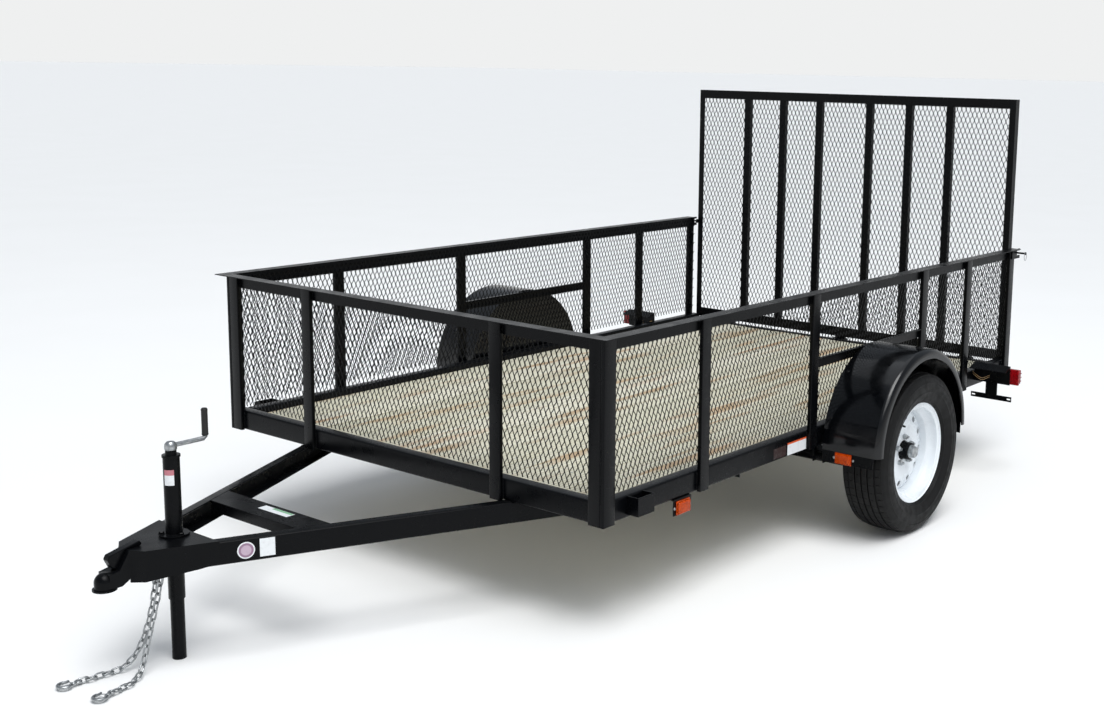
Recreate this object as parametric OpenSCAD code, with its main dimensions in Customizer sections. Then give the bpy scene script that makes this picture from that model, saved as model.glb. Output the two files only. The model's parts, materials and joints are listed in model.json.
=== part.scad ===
// Single-axle utility trailer with mesh sides, a ramp gate and an A-frame tongue.
// X runs forward to the coupler, Y to the trailer's left, Z up from the ground.
// Every module draws in bed coordinates, where X = 0 is the front of the frame;
// place() then moves the part so that its origin is under the middle of its box.

/* [Bed] */
// Width over the frame rails
bed_w = 1930; // [1500:5:2100]
// Length over the frame rails
bed_l = 3048; // [2740:4:3660]
// Height of the underside of the frame above the ground
frame_z = 400; // [385:1:440]
// Height of the top of the mesh sides above the ground
side_top_z = 1024; // [900:2:1200]
// Height of the frame rails
rail_h = 76; // [64:1:102]
// Width of the frame rails
rail_w = 51; // [45:1:60]
// Thickness of the deck boards
board_t = 38; // [28:1:40]
// Number of deck boards
board_count = 10; // [8:1:12]

/* [Sides] */
// Width of an upright post
post_w = 51; // [38:1:64]
// Depth of an upright post
post_d = 16; // [12:1:22]
// Leg of the top angle
top_leg = 50; // [38:1:60]
// Thickness of angle iron and sheet brackets
steel_t = 3.2; // [3:0.2:5]
// Thickness of the expanded metal sheets
mesh_t = 2; // [1.6:0.1:4]

/* [Gate] */
// Height of the ramp gate's top above the ground
gate_top_z = 1738; // [1400:2:1900]
// Width over the gate's stiles
gate_side_gap = 22; // [12:1:40]
// Depth of the gate frame
gate_d = 38; // [32:1:45]

/* [Running gear] */
// Outer diameter of the tyre
tyre_d = 662; // [610:1:720]
// Width of the tyre
tyre_w = 205; // [175:1:220]
// Distance from the front of the frame back to the axle
axle_back = 1690; // [1500:5:1900]
// Distance between the middles of the two tyres
track = 2264; // [2250:2:2330]
// Radius of the round fender
fender_r = 376; // [360:1:400]

/* [Tongue] */
// Angle of each tongue beam from the centre line, in degrees
tongue_angle = 25; // [22:0.5:28]
// Distance from the front of the frame to the middle of the ball socket
ball_x = 1153; // [1000:1:1300]
// Distance from the front of the frame to the jack
jack_x = 915; // [880:1:925]
// Diameter of the tow ball
ball_d = 50.8; // [47:0.1:60]
// How far the jack leg stands out below its outer tube
jack_out = 198; // [100:1:320]

/* [Hidden] */
$fn = 48;

// Bed
half_w = bed_w / 2;
frame_top_z = frame_z + rail_h;
deck_z = frame_top_z - 24;
board_z = deck_z - board_t;
board_gap = 4;
inner_half = half_w - rail_w;
rail_round = 8;
round_steps = 4;

// Sides: the top angle's upright leg stands over the outer faces of the rails
top_in = half_w - steel_t;
top_out = top_in + top_leg;
top_band_z = side_top_z - top_leg;
post_out = half_w + post_d;
front_post_y = 495;
wheel_post_gap = 890;
side_post_x = [-530, -axle_back + wheel_post_gap / 2, -axle_back - wheel_post_gap / 2, -bed_l + 483];
mid_bar_h = 38;
mid_bar_z = frame_z + 318;

// Gate, hinged behind the rear rail
gate_half = half_w - gate_side_gap;
gate_x = -bed_l - 8;
gate_z = deck_z + 10;
gate_foot_h = 50;
gate_head_h = 45;
gate_stile_w = 32;
gate_bar_w = 38;
gate_bar_d = 24;
gate_bar_shift = -16;
gate_bar_y = [for (share = [0.16, 0.403, 0.645], side = [-1, 1]) side * share * gate_half + gate_bar_shift];
hinge_x = gate_x - 32;
hinge_z = gate_z - 26;
hinge_pin_r = 8;
hinge_gap = 2;
hinge_y = [-0.76 * half_w, 0, 0.76 * half_w];
knuckle_len = 56;
knuckle_r = 15;
latch_z = top_band_z + 26;
latch_x = gate_x - 19;
latch_pin_r = 4.5;
latch_slot = 22;

// Running gear
axle_x = -axle_back;
wheel_r = tyre_d / 2;
rim_lip_r = 208;
bead_r = 190;
rim_half = 65;
corner_cut = 8;
vent_count = 12;
vent_r = 13;
vent_ring_r = 140;
axle_drop = 89;
axle_z = wheel_r - axle_drop;
axle_r = 30;
drop_arm_y = half_w + 20;
drop_arm_t = 24;
spindle_r = 17;
hub_bore_r = 17.6;
lug_circle_r = 57.15;
lug_count = 5;
spring_y = half_w - rail_w / 2;
spring_w = 42;
spring_half = 317;
leaf_t = 7;
leaf_count = 3;
spring_eye_z = axle_z + 94;
spring_seat_z = axle_z + axle_r;
spring_arc_r = spring_half * spring_half / (2 * (spring_eye_z - spring_seat_z - leaf_t * (leaf_count - 1)));
fender_z = wheel_r + 54;
fender_in = post_out;
fender_out = track / 2 + tyre_w / 2 + 2;
fender_foot = 45;

// Tongue: the beams lie under the front rail and end at the first crossmember
beam_h = 76;
beam_flange = 38;
beam_web = 5;
beam_y0 = 560;
beam_z = frame_z - beam_h;
beam_back_x = -240;
beam_front_x = ball_x - 103;
cross_front_x = 632;
cross_back_x = 530;
crossmember_step = 600;
crossmember_h = 51;

// Coupler and jack
coupler_t = 4;
coupler_back_x = jack_x - 50;
coupler_z = frame_z;
ball_r = ball_d / 2 + 0.4;
ball_z = frame_z - 82;
socket_depth = 24;
neck_half = 30;
neck_break = [ball_x - 68, coupler_z + coupler_t];
neck_foot = [ball_x - 33, ball_z + 32];
latch_w = 28;
jack_tube_r = 25.4;
jack_bore_r = 22.2;
jack_leg_r = 21.5;
jack_tube_top = frame_z + 255;
jack_cap_r = 28;
crank_arm = 122;
grip_h = 88;
grip_r = 10.5;

// Safety chains: drawn as tubes of the links' width, laid along these points
chain_d = 22;
chain_x = 975;
chain_top_z = 296;
chain_left_route = [
    [975, 15, 296], [982, 15, 262], [995, 17, 215], [1012, 19, 165], [1032, 24, 110],
    [1054, 34, 58], [1074, 44, 26], [1096, 57, 13], [1126, 76, 12], [1158, 87, 12], [1190, 89, 12]
];
chain_right_route = [
    [975, -15, 296], [979, -15, 258], [990, -16, 195], [1006, -17, 140], [1026, -19, 90],
    [1050, -21, 52], [1078, -27, 26], [1104, -36, 13], [1140, -42, 12], [1178, -45, 12], [1212, -52, 12]
];
chain_sides = 8;
hook_t = 10;

// Lights and brackets
tail_x = -2670;
tail_out = 1186;
lens_w = 64;
lens_h = 72;
lens_z = 432;
plate_slot_pitch = 177.8;
plate_slot_r = 3.5;
plate_slot_half = 6;
front_marker_x = -418;
marker_lens = [74, 50, 14];

// Where the whole trailer sits: the middle of its length at the origin
front_end_x = ball_x + 36;
rear_end_x = hinge_x - knuckle_r;
mid_x = (front_end_x + rear_end_x) / 2;

paint = [0.05, 0.05, 0.055];
zinc = [0.72, 0.73, 0.74];
amber = [0.95, 0.4, 0.06];
red = [0.72, 0.04, 0.05];
timber = [0.84, 0.78, 0.6];
rubber = [0.08, 0.08, 0.085];
rim_white = [0.93, 0.94, 0.95];

module place() translate([-mid_x, 0, 0]) children();

module both_sides() {
    children();
    mirror([0, 1, 0]) children();
}

// Corner points of a rounded rectangle whose middle is the origin
function rounded(w, h, r) = [
    for (corner = [0:3], step = [0:round_steps])
        let (a = corner * 90 + step * 90 / round_steps,
             sx = (corner == 0 || corner == 3) ? 1 : -1,
             sy = corner < 2 ? 1 : -1)
            [sx * (w / 2 - r) + r * cos(a), sy * (h / 2 - r) + r * sin(a)]
];

// Rectangular tube along X from x0 to x1, with its middle at y and z
module tube_x(x0, x1, y, z, w, h, wall = steel_t, r = rail_round)
    translate([x0, y, z]) rotate([90, 0, 90]) linear_extrude(x1 - x0)
        difference() {
            polygon(rounded(w, h, r));
            polygon(rounded(w - 2 * wall, h - 2 * wall, max(r - wall, 1)));
        }

// The same tube along Y
module tube_y(y0, y1, x, z, w, h, wall = steel_t, r = rail_round)
    translate([x, y1, z]) rotate([90, 0, 0]) linear_extrude(y1 - y0)
        difference() {
            polygon(rounded(w, h, r));
            polygon(rounded(w - 2 * wall, h - 2 * wall, max(r - wall, 1)));
        }

// Upright post with rounded edges; its middle is at x and y
module post(x, y, z0, z1, w, d, r = 3)
    translate([x, y, z0]) linear_extrude(z1 - z0) polygon(rounded(w, d, r));

// Bolt or rod along Y
module rod_y(x, y0, y1, z, r)
    translate([x, y0, z]) rotate([-90, 0, 0]) cylinder(r = r, h = y1 - y0);

// ---- Bed ----

module front_rail() color(paint)
    tube_y(-half_w, half_w, -rail_w / 2, frame_z + rail_h / 2, rail_w, rail_h);

module side_rails() color(paint) both_sides()
    tube_x(-bed_l, -rail_w, half_w - rail_w / 2, frame_z + rail_h / 2, rail_w, rail_h);

module rear_rail() color(paint)
    tube_y(-inner_half, inner_half, -bed_l + rail_w / 2, (frame_z + deck_z) / 2, rail_w, deck_z - frame_z, r = 6);

// An angle under the boards, between the side rails
module crossmember(x) {
    translate([x - rail_w, -inner_half, board_z - steel_t]) cube([rail_w, 2 * inner_half, steel_t]);
    translate([x - steel_t, -inner_half, board_z - crossmember_h])
        cube([steel_t, 2 * inner_half, crossmember_h]);
}

module crossmembers() color(paint)
    for (x = [beam_back_x : -crossmember_step : -bed_l + 300]) crossmember(x);

module deck_boards() color(timber) {
    length = bed_l - 2 * rail_w - 6;
    width = (2 * inner_half - (board_count + 1) * board_gap) / board_count;
    for (i = [0 : board_count - 1])
        translate([-rail_w - 3 - length, -inner_half + board_gap + i * (width + board_gap), board_z])
            cube([length, width, board_t]);
}

// ---- Tongue ----

// Outline of a tongue beam's channel, with its web outside
module beam_section() difference() {
    translate([-beam_flange, 0]) polygon(concat(
        [[0, 0]],
        [for (i = [0:round_steps]) let (a = -90 + i * 90 / round_steps)
            [beam_flange - 7 + 7 * cos(a), 7 + 7 * sin(a)]],
        [for (i = [0:round_steps]) let (a = i * 90 / round_steps)
            [beam_flange - 7 + 7 * cos(a), beam_h - 7 + 7 * sin(a)]],
        [[0, beam_h]]));
    translate([-beam_flange - 1, 6]) square([beam_flange - beam_web + 1, beam_h - 12]);
}

module tongue_beam() difference() {
    translate([0, beam_y0, beam_z]) rotate([0, 0, -tongue_angle]) translate([-500, 0, 0])
        rotate([90, 0, 90]) linear_extrude(2000) beam_section();
    translate([beam_back_x - 900, -100, beam_z - 1]) cube([900, 1200, beam_h + 2]);
    translate([beam_front_x, -400, beam_z - 1]) cube([900, 1200, beam_h + 2]);
}

module tongue_beam_left() color(paint) tongue_beam();
module tongue_beam_right() color(paint) mirror([0, 1, 0]) tongue_beam();

// Half distance between the beams' flange tips at x
function beam_inner(x) = beam_y0 - x * tan(tongue_angle) - beam_flange / cos(tongue_angle);
// Half distance over the beams' webs at x
function beam_outer(x) = beam_y0 - x * tan(tongue_angle);

module tongue_crossmember() color(paint) difference() {
    translate([0, 0, frame_z - 38]) linear_extrude(38) polygon([
        [cross_back_x, -beam_inner(cross_back_x)], [cross_front_x, -beam_inner(cross_front_x)],
        [cross_front_x, beam_inner(cross_front_x)], [cross_back_x, beam_inner(cross_back_x)]]);
    translate([cross_back_x + 5, -beam_y0, frame_z - 39])
        cube([cross_front_x - cross_back_x - 10, 2 * beam_y0, 34]);
}

// The stamped coupler: a plate over the beams, side skirts, a neck and the ball housing
module coupler_plan(x0, x1, grow, tip)
    polygon([[x0, -beam_outer(x0) - grow], [x1, -beam_outer(x1) - grow], [neck_break[0], -tip],
             [neck_break[0], tip], [x1, beam_outer(x1) + grow], [x0, beam_outer(x0) + grow]]);

module coupler() color(paint) {
    neck_x = beam_front_x + 10;
    skirt_h = 104;
    difference() {
        union() {
            difference() {
                translate([0, 0, coupler_z - skirt_h + coupler_t]) linear_extrude(skirt_h)
                    coupler_plan(coupler_back_x, neck_x, coupler_t, neck_half);
                translate([0, 0, coupler_z - skirt_h]) linear_extrude(skirt_h)
                    coupler_plan(coupler_back_x - 1, neck_x, 0, neck_half - coupler_t);
                translate([0, beam_y0, 0]) rotate([90, 0, 0]) linear_extrude(2 * beam_y0) polygon([
                    [coupler_back_x - 1, coupler_z - 66], [jack_x, beam_z], [ball_x - 40, ball_z - 18],
                    [ball_x - 40, ball_z - 60], [coupler_back_x - 1, ball_z - 60]]);
            }
            translate([0, neck_half, 0]) rotate([90, 0, 0]) linear_extrude(2 * neck_half) polygon([
                [neck_x + 8, ball_z + 8], [neck_x + 8, coupler_z + coupler_t], neck_break,
                neck_foot, [ball_x, ball_z + 26], [ball_x, ball_z - 18], [ball_x - 40, ball_z - 18]]);
            translate([ball_x, 0, ball_z]) sphere(r = neck_half);
            translate([ball_x, 0, ball_z - socket_depth]) cylinder(r = neck_half, h = socket_depth);
            translate([ball_x, 0, ball_z - socket_depth]) cylinder(r = neck_half + 6, h = 5);
        }
        translate([ball_x, 0, ball_z - neck_half - 1]) cylinder(r = ball_r, h = neck_half + 1);
        translate([ball_x, 0, ball_z - neck_half - 1]) cylinder(r = neck_half + 6, h = neck_half + 1 - socket_depth);
        translate([ball_x, 0, ball_z]) sphere(r = ball_r);
        translate([jack_x, 0, coupler_z - 1]) cylinder(r = jack_tube_r + 0.6, h = coupler_t + 2);
    }
}

// Latch lever: it sits on the slope of the neck and on the plate behind it
module coupler_latch() color(paint) translate([0, latch_w / 2, 0]) rotate([90, 0, 0]) linear_extrude(latch_w)
    polygon([neck_break, neck_foot, neck_foot + [15, 9], neck_foot + [27, 35], neck_foot + [20, 48],
             neck_break + [-44, 17], neck_break + [-52, 6], neck_break + [-46, 0]]);

module chain_bracket() color(paint) {
    y = beam_outer(chain_x + 20);
    translate([chain_x - 20, -y, beam_z - 6]) cube([40, 2 * y, 6]);
    difference() {
        translate([chain_x - 6, -30, chain_top_z]) cube([6, 60, beam_z - 6 - chain_top_z]);
        for (side = [-1, 1]) translate([chain_x - 7, side * 15, chain_top_z + 10])
            rotate([0, 90, 0]) cylinder(r = 5.5, h = 8);
    }
}

// ---- Safety chains ----

function unit(v) = v / norm(v);

function tangent(points, i) = unit(points[min(i + 1, len(points) - 1)] - points[max(i - 1, 0)]);

// One ring of the tube, square to the route
function ring(centre, along, r) =
    let (across = unit(cross(along, [0, 1, 0.001])), up = cross(across, along))
        [for (k = [0 : chain_sides - 1]) let (a = k * 360 / chain_sides)
            centre + r * (cos(a) * across + sin(a) * up)];

module cord_tube(route, d) {
    last = len(route) - 1;
    n = chain_sides;
    rings = [for (i = [0 : last]) each ring(route[i], tangent(route, i), d / 2)];
    walls = [for (i = [0 : last - 1], k = [0 : n - 1]) let (a = i * n, b = a + n, m = (k + 1) % n)
        each [[b + k, b + m, a + k], [b + m, a + m, a + k]]];
    start_cap = [for (k = [0 : n - 1]) k];
    end_cap = [for (k = [n - 1 : -1 : 0]) last * n + k];
    polyhedron(rings, concat(walls, [start_cap, end_cap]));
}

module safety_chain_left() color(zinc) cord_tube(chain_left_route, chain_d);
module safety_chain_right() color(zinc) cord_tube(chain_right_route, chain_d);

// A flat slip hook that lies on the ground; its eye meets the end of the chain
module chain_hook(route) {
    tip = route[len(route) - 1];
    before = route[len(route) - 2];
    heading = atan2(tip[1] - before[1], tip[0] - before[0]);
    translate([tip[0], tip[1], tip[2] - hook_t / 2]) rotate([0, 0, heading]) linear_extrude(hook_t)
        difference() {
            union() {
                translate([0, -11]) square([26, 22]);
                translate([50, 2]) circle(r = 25);
                translate([24, 12]) rotate([0, 0, 8]) square([30, 14]);
            }
            translate([12, 0]) circle(r = 5);
            translate([52, 1]) circle(r = 13);
            translate([22, -14]) rotate([0, 0, 14]) square([34, 12]);
        }
}

module chain_hook_left() color(zinc) chain_hook(chain_left_route);
module chain_hook_right() color(zinc) chain_hook(chain_right_route);

// ---- Jack ----

module jack_tube() color(paint) translate([jack_x, 0, 0]) {
    difference() {
        union() {
            translate([0, 0, jack_out]) cylinder(r = jack_tube_r, h = jack_tube_top - jack_out);
            translate([0, 0, coupler_z + coupler_t]) cylinder(r = 46, h = 6);
            translate([0, 0, jack_tube_top - 2]) cylinder(r = jack_cap_r, h = 8);
            translate([0, 0, jack_tube_top + 6]) cylinder(r = 17, h = 14);
        }
        translate([0, 0, jack_out - 1]) cylinder(r = jack_bore_r, h = jack_tube_top - jack_out - 4);
    }
}

// The inner leg, closed by its foot
module jack_leg() color(paint) translate([jack_x, 0, 0]) difference() {
    cylinder(r = jack_leg_r, h = jack_tube_top - 40 - 190);
    translate([0, 0, 6]) cylinder(r = jack_leg_r - 3, h = jack_tube_top);
}

module jack_crank() color(zinc) translate([jack_x, 0, jack_tube_top + 20]) {
    cylinder(r = 12, h = 12);
    translate([0, 6, 0]) rotate([90, 0, 0]) linear_extrude(12)
        polygon([[6, 2], [6, 12], [-crank_arm + 9, 22], [-crank_arm - 9, 22], [-crank_arm - 9, 12], [-crank_arm + 9, 12]]);
    translate([-crank_arm, 0, 22]) cylinder(r = 4, h = grip_h + 4);
}

module jack_grip() color([0.06, 0.06, 0.06]) translate([jack_x - crank_arm, 0, jack_tube_top + 42])
    difference() {
        cylinder(r = grip_r, h = grip_h);
        translate([0, 0, -1]) cylinder(r = 4, h = grip_h + 2);
    }

// ---- Mesh sides ----

// Top angle along X: the upright leg inside, the flat leg outwards
module side_top_angle(x0, x1) {
    translate([x0, top_in, top_band_z]) cube([x1 - x0, steel_t, top_leg]);
    translate([x0, top_in, side_top_z - steel_t]) cube([x1 - x0, top_leg, steel_t]);
}

// The same angle across the front of the bed, over the full width of the side angles
module front_frame() color(paint) {
    translate([-steel_t, -top_in, top_band_z]) cube([steel_t, 2 * top_in, top_leg]);
    translate([-steel_t, -top_out, side_top_z - steel_t]) cube([top_leg, 2 * top_out, steel_t]);
    for (side = [-1, 1]) post(post_d / 2, side * front_post_y, frame_z, side_top_z - steel_t, post_d, post_w);
    for (side = [-1, 1])
        post(post_d / 2, side * (half_w - post_w / 2), frame_z, side_top_z - steel_t, post_d, post_w);
}

module side_frame() {
    side_top_angle(-bed_l, -steel_t);
    for (x = concat(side_post_x, [-bed_l + post_w / 2]))
        post(x, half_w + post_d / 2, frame_z, side_top_z - steel_t, post_w, post_d);
    corner_w = post_w - corner_cut + post_d;
    post(post_d - corner_w / 2, half_w + post_d / 2, frame_z, side_top_z - steel_t, corner_w, post_d);
    bar_x0 = side_post_x[2] + post_w / 2;
    bar_l = side_post_x[1] - side_post_x[2] - post_w;
    translate([bar_x0, half_w, mid_bar_z]) cube([bar_l, steel_t, mid_bar_h]);
    translate([bar_x0, half_w, mid_bar_z + mid_bar_h - steel_t]) cube([bar_l, post_d, steel_t]);
}

module side_frame_left() color(paint) side_frame();
module side_frame_right() color(paint) mirror([0, 1, 0]) side_frame();

mesh_top_z = side_top_z - 9;

module mesh_front() color(paint)
    translate([-steel_t - mesh_t, -top_in + mesh_t, frame_top_z])
        cube([mesh_t, 2 * (top_in - mesh_t), mesh_top_z - frame_top_z]);

module side_mesh()
    translate([-bed_l + 2, top_in - mesh_t, frame_top_z])
        cube([bed_l - 2 - steel_t, mesh_t, mesh_top_z - frame_top_z]);

module mesh_left() color(paint) side_mesh();
module mesh_right() color(paint) mirror([0, 1, 0]) side_mesh();

// ---- Ramp gate ----

// Frame of angle iron, open to the rear, with six upright bars behind the mesh
module gate_frame() color(paint) {
    foot = gate_z;
    head = gate_top_z;
    full_w = 2 * gate_half;
    translate([gate_x - steel_t, -gate_half, foot]) cube([steel_t, full_w, gate_foot_h]);
    translate([gate_x - gate_d, -gate_half, foot]) cube([gate_d, full_w, steel_t]);
    translate([gate_x - steel_t, -gate_half, head - gate_head_h]) cube([steel_t, full_w, gate_head_h]);
    translate([gate_x - gate_d, -gate_half, head - steel_t]) cube([gate_d, full_w, steel_t]);
    both_sides() {
        translate([gate_x - steel_t, gate_half - gate_stile_w, foot]) cube([steel_t, gate_stile_w, head - foot]);
        translate([gate_x - gate_d, gate_half - steel_t, foot]) cube([gate_d, steel_t, head - foot]);
    }
    for (y = gate_bar_y)
        translate([gate_x - steel_t - mesh_t - gate_bar_d, y - gate_bar_w / 2, foot + steel_t])
            cube([gate_bar_d, gate_bar_w, head - foot - 2 * steel_t]);
}

module gate_mesh() color(paint)
    translate([gate_x - steel_t - mesh_t, -gate_half + steel_t, gate_z + steel_t])
        cube([mesh_t, 2 * (gate_half - steel_t), gate_top_z - gate_z - 2 * steel_t]);

// Lugs and pins fixed to the rear rail
module gate_hinge_brackets() color(paint) for (y = hinge_y) {
    lug_t = 6;
    gap = knuckle_len + 2 * hinge_gap;
    translate([-bed_l - steel_t, y - gap / 2 - lug_t, frame_z])
        cube([steel_t, gap + 2 * lug_t, deck_z - frame_z - 4]);
    for (side = [-1, 1]) translate([0, y + side * (gap + lug_t) / 2 - lug_t / 2, 0]) {
        translate([hinge_x, 0, hinge_z - 16]) cube([-bed_l - steel_t - hinge_x, lug_t, 30]);
        rod_y(hinge_x, 0, lug_t, hinge_z, 14);
    }
    rod_y(hinge_x, y - gap / 2 - lug_t, y + gap / 2 + lug_t, hinge_z, hinge_pin_r);
}

// Knuckles on the gate, each with a bore round its pin
module gate_hinge_knuckles() color(paint) for (y = hinge_y) difference() {
    union() {
        rod_y(hinge_x, y - knuckle_len / 2, y + knuckle_len / 2, hinge_z, knuckle_r);
        translate([hinge_x - 6, y - knuckle_len / 2, hinge_z]) cube([22, knuckle_len, gate_z - hinge_z]);
    }
    rod_y(hinge_x, y - knuckle_len, y + knuckle_len, hinge_z, hinge_pin_r + 0.5);
}

// Ears on the rear posts, slotted to the rear so that the gate can leave them
module gate_latch_brackets() color(paint) both_sides() difference() {
    translate([latch_x - 20, post_out, latch_z - 26]) cube([-bed_l + 40 - latch_x + 20, 6, side_top_z - steel_t - latch_z + 26]);
    translate([latch_x - 30, post_out - 1, latch_z - latch_slot / 2]) cube([43, 8, latch_slot]);
}

module gate_latch_pins() color(paint) both_sides() {
    rod_y(latch_x, gate_half, gate_half + 24, latch_z, 11);
    rod_y(latch_x, gate_half + 24, top_out + 16, latch_z, latch_pin_r);
    rod_y(latch_x, top_out + 10, top_out + 16, latch_z, 7);
}

// ---- Running gear ----

// Section of the fender from its inner panel to its rolled outer lip: [distance from the frame, radius]
function fender_section() = let (y1 = fender_out - fender_in, r = fender_r, bend = 24, t = steel_t) concat(
    [[0, 0], [0, r]],
    [for (i = [0:4]) let (a = 90 - i * 90 / 4) [y1 - bend + bend * cos(a), r - bend + bend * sin(a)]],
    [[y1, r - 36], [y1 - t, r - 36]],
    [for (i = [4:-1:0]) let (a = 90 - i * 90 / 4, b = bend - t) [y1 - bend + b * cos(a), r - bend + b * sin(a)]],
    [[t, r - t], [t, 0]]);

module fender() translate([axle_x, fender_in, fender_z]) rotate([-90, 0, 0]) rotate([0, 0, 180])
    rotate_extrude(angle = 180, $fn = 96) polygon([for (p = fender_section()) [p[1], p[0]]]);

module fender_left() color(paint) fender();
module fender_right() color(paint) mirror([0, 1, 0]) fender();

// Plates under the ends of each fender that run in to the frame
module fender_braces() color(paint) both_sides() for (end = [-1, 1]) {
    x = axle_x + end * (fender_r - steel_t / 2);
    translate([x - steel_t / 2, fender_in, fender_z - fender_foot]) cube([steel_t, fender_out - fender_in - 26, fender_foot]);
    translate([x - steel_t / 2, half_w - 4, frame_z - 22]) cube([steel_t, fender_in - half_w + 4, 22]);
    translate([x - 20, half_w - 40, frame_z - steel_t]) cube([40, 44, steel_t]);
}

module axle() color(paint) {
    rod_y(axle_x, -drop_arm_y, drop_arm_y, axle_z, axle_r);
    both_sides() {
        translate([axle_x - 32, drop_arm_y, axle_z - 32]) cube([64, drop_arm_t, axle_drop + 64]);
        rod_y(axle_x, drop_arm_y + drop_arm_t, track / 2 + 30, wheel_r, spindle_r);
    }
}

// Top of the stack of leaves at a distance x from the axle
function leaf_top(x) = spring_seat_z + leaf_count * leaf_t + x * x / (2 * spring_arc_r);
// Half length of each leaf, the longest first
leaf_end = [for (k = [0 : leaf_count - 1]) 0.98 * spring_half * (1 - 0.3 * k)];
// Underside of the stack from its end to its middle, a step down at each leaf's end
spring_underside = [for (k = [0 : leaf_count - 1])
    let (far = leaf_end[k], near = k < leaf_count - 1 ? leaf_end[k + 1] : 20)
        for (x = [far, (far + near) / 2, near]) [x, leaf_top(x) - (k + 1) * leaf_t]];

module leaf_springs() color(paint) both_sides() {
    steps = 8;
    translate([axle_x, spring_y + spring_w / 2, 0]) rotate([90, 0, 0]) linear_extrude(spring_w)
        polygon(concat(
            [for (i = [-steps : steps]) let (x = leaf_end[0] * i / steps) [x, leaf_top(x)]],
            spring_underside, mirrored_across(spring_underside)));
    for (end = [-1, 1])
        rod_y(axle_x + end * spring_half, spring_y - spring_w / 2, spring_y + spring_w / 2, spring_eye_z, 16);
}

module spring_hangers() color(paint) both_sides() for (end = [-1, 1]) {
    x = axle_x + end * spring_half;
    for (side = [-1, 1])
        translate([x - 22, spring_y + side * (spring_w + 4) / 2 - 2, spring_eye_z - 20]) cube([44, 4, frame_z - spring_eye_z + 20]);
    translate([x - 22, spring_y - spring_w / 2, frame_z - 4]) cube([44, spring_w, 4]);
}

module axle_clamps() color(zinc) both_sides() {
    top = spring_seat_z + leaf_count * leaf_t + 2;
    foot = axle_z - axle_r;
    translate([axle_x - 48, spring_y - 36, top]) cube([96, 72, 8]);
    translate([axle_x - 48, spring_y - 36, foot - 8]) cube([96, 72, 8]);
    for (dx = [-38, 38], dy = [-29, 29]) translate([axle_x + dx, spring_y + dy, foot - 14]) cylinder(r = 6, h = top - foot + 28);
}

// Outside of half the tyre's section, from bead to crown: [distance from its middle, radius]
function tyre_outside() = let (w = tyre_w / 2, r = wheel_r, s = r - bead_r) [
    [rim_half, bead_r], [rim_half, rim_lip_r + 1], [w * 0.8, bead_r + s * 0.18], [w * 0.95, bead_r + s * 0.33],
    [w, bead_r + s * 0.5], [w * 0.985, bead_r + s * 0.66], [w * 0.93, bead_r + s * 0.8],
    [w * 0.86, bead_r + s * 0.9], [w * 0.74, bead_r + s * 0.97], [w * 0.4, r]];
// Inside of the same half, from crown to bead
function tyre_inside() = let (w = tyre_w / 2 - 8, r = wheel_r - 13, s = r - bead_r) [
    [w * 0.5, r], [w * 0.84, bead_r + s * 0.93], [w * 0.97, bead_r + s * 0.7], [w, bead_r + s * 0.5],
    [w * 0.93, bead_r + s * 0.3], [rim_half - 14, bead_r + 10], [rim_half - 14, bead_r]];

module wheel_place() translate([axle_x, track / 2, wheel_r]) rotate([-90, 0, 0]) children();

// The same points in reverse order, with the first coordinate's sign changed
function mirrored_across(points) = [for (i = [len(points) - 1 : -1 : 0]) [-points[i][0], points[i][1]]];

module tyre() wheel_place() rotate_extrude($fn = 96) polygon(
    [for (p = concat(tyre_outside(), mirrored_across(tyre_outside()), mirrored_across(tyre_inside()), tyre_inside())) [p[1], p[0]]]);

// Barrel with a drop centre and two lips, and a dished disc with lug holes, a pilot hole and vents
module rim() wheel_place() difference() {
    union() {
        rotate_extrude($fn = 96) polygon(concat(
            [[rim_lip_r, -rim_half - 9], [rim_lip_r, -rim_half], [bead_r, -rim_half], [bead_r, -rim_half + 22],
             [172, -28], [172, 20], [bead_r, rim_half - 22], [bead_r, rim_half], [rim_lip_r, rim_half],
             [rim_lip_r, rim_half + 9]],
            [[rim_lip_r - 4, rim_half + 9], [rim_lip_r - 4, rim_half + 4], [bead_r - 4, rim_half + 4],
             [bead_r - 4, rim_half - 24], [168, 22], [168, -30], [bead_r - 4, -rim_half + 24],
             [bead_r - 4, -rim_half - 4], [rim_lip_r - 4, -rim_half - 4], [rim_lip_r - 4, -rim_half - 9]]));
        rotate_extrude($fn = 96) polygon([
            [170, -6], [160, 0], [140, 5], [118, 9], [104, 10], [90, 9], [76, 8], [40, 8],
            [40, 2], [78, 2], [94, 3], [107, 4], [118, 3], [138, -1], [158, -6], [170, -12]]);
    }
    for (i = [0 : lug_count - 1]) rotate([0, 0, 90 + i * 72]) translate([lug_circle_r, 0, -5]) cylinder(r = 7.5, h = 30);
    for (i = [0 : vent_count - 1]) rotate([0, 0, i * 360 / vent_count]) translate([vent_ring_r, 0, -20])
        cylinder(r = vent_r, h = 60);
}

module hub() wheel_place() difference() {
    union() {
        translate([0, 0, -92]) cylinder(r = 38, h = 84);
        translate([0, 0, -8]) cylinder(r = 72, h = 10);
        translate([0, 0, 2]) cylinder(r = 36, h = 42);
        translate([0, 0, 44]) cylinder(r = 25.4, h = 24);
    }
    translate([0, 0, -93]) cylinder(r = hub_bore_r, h = 93 + 34);
}

module lug_nuts() wheel_place() for (i = [0 : lug_count - 1])
    rotate([0, 0, 90 + i * 72]) translate([lug_circle_r, 0, 8]) cylinder(r = 10.5, h = 22, $fn = 6);

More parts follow.
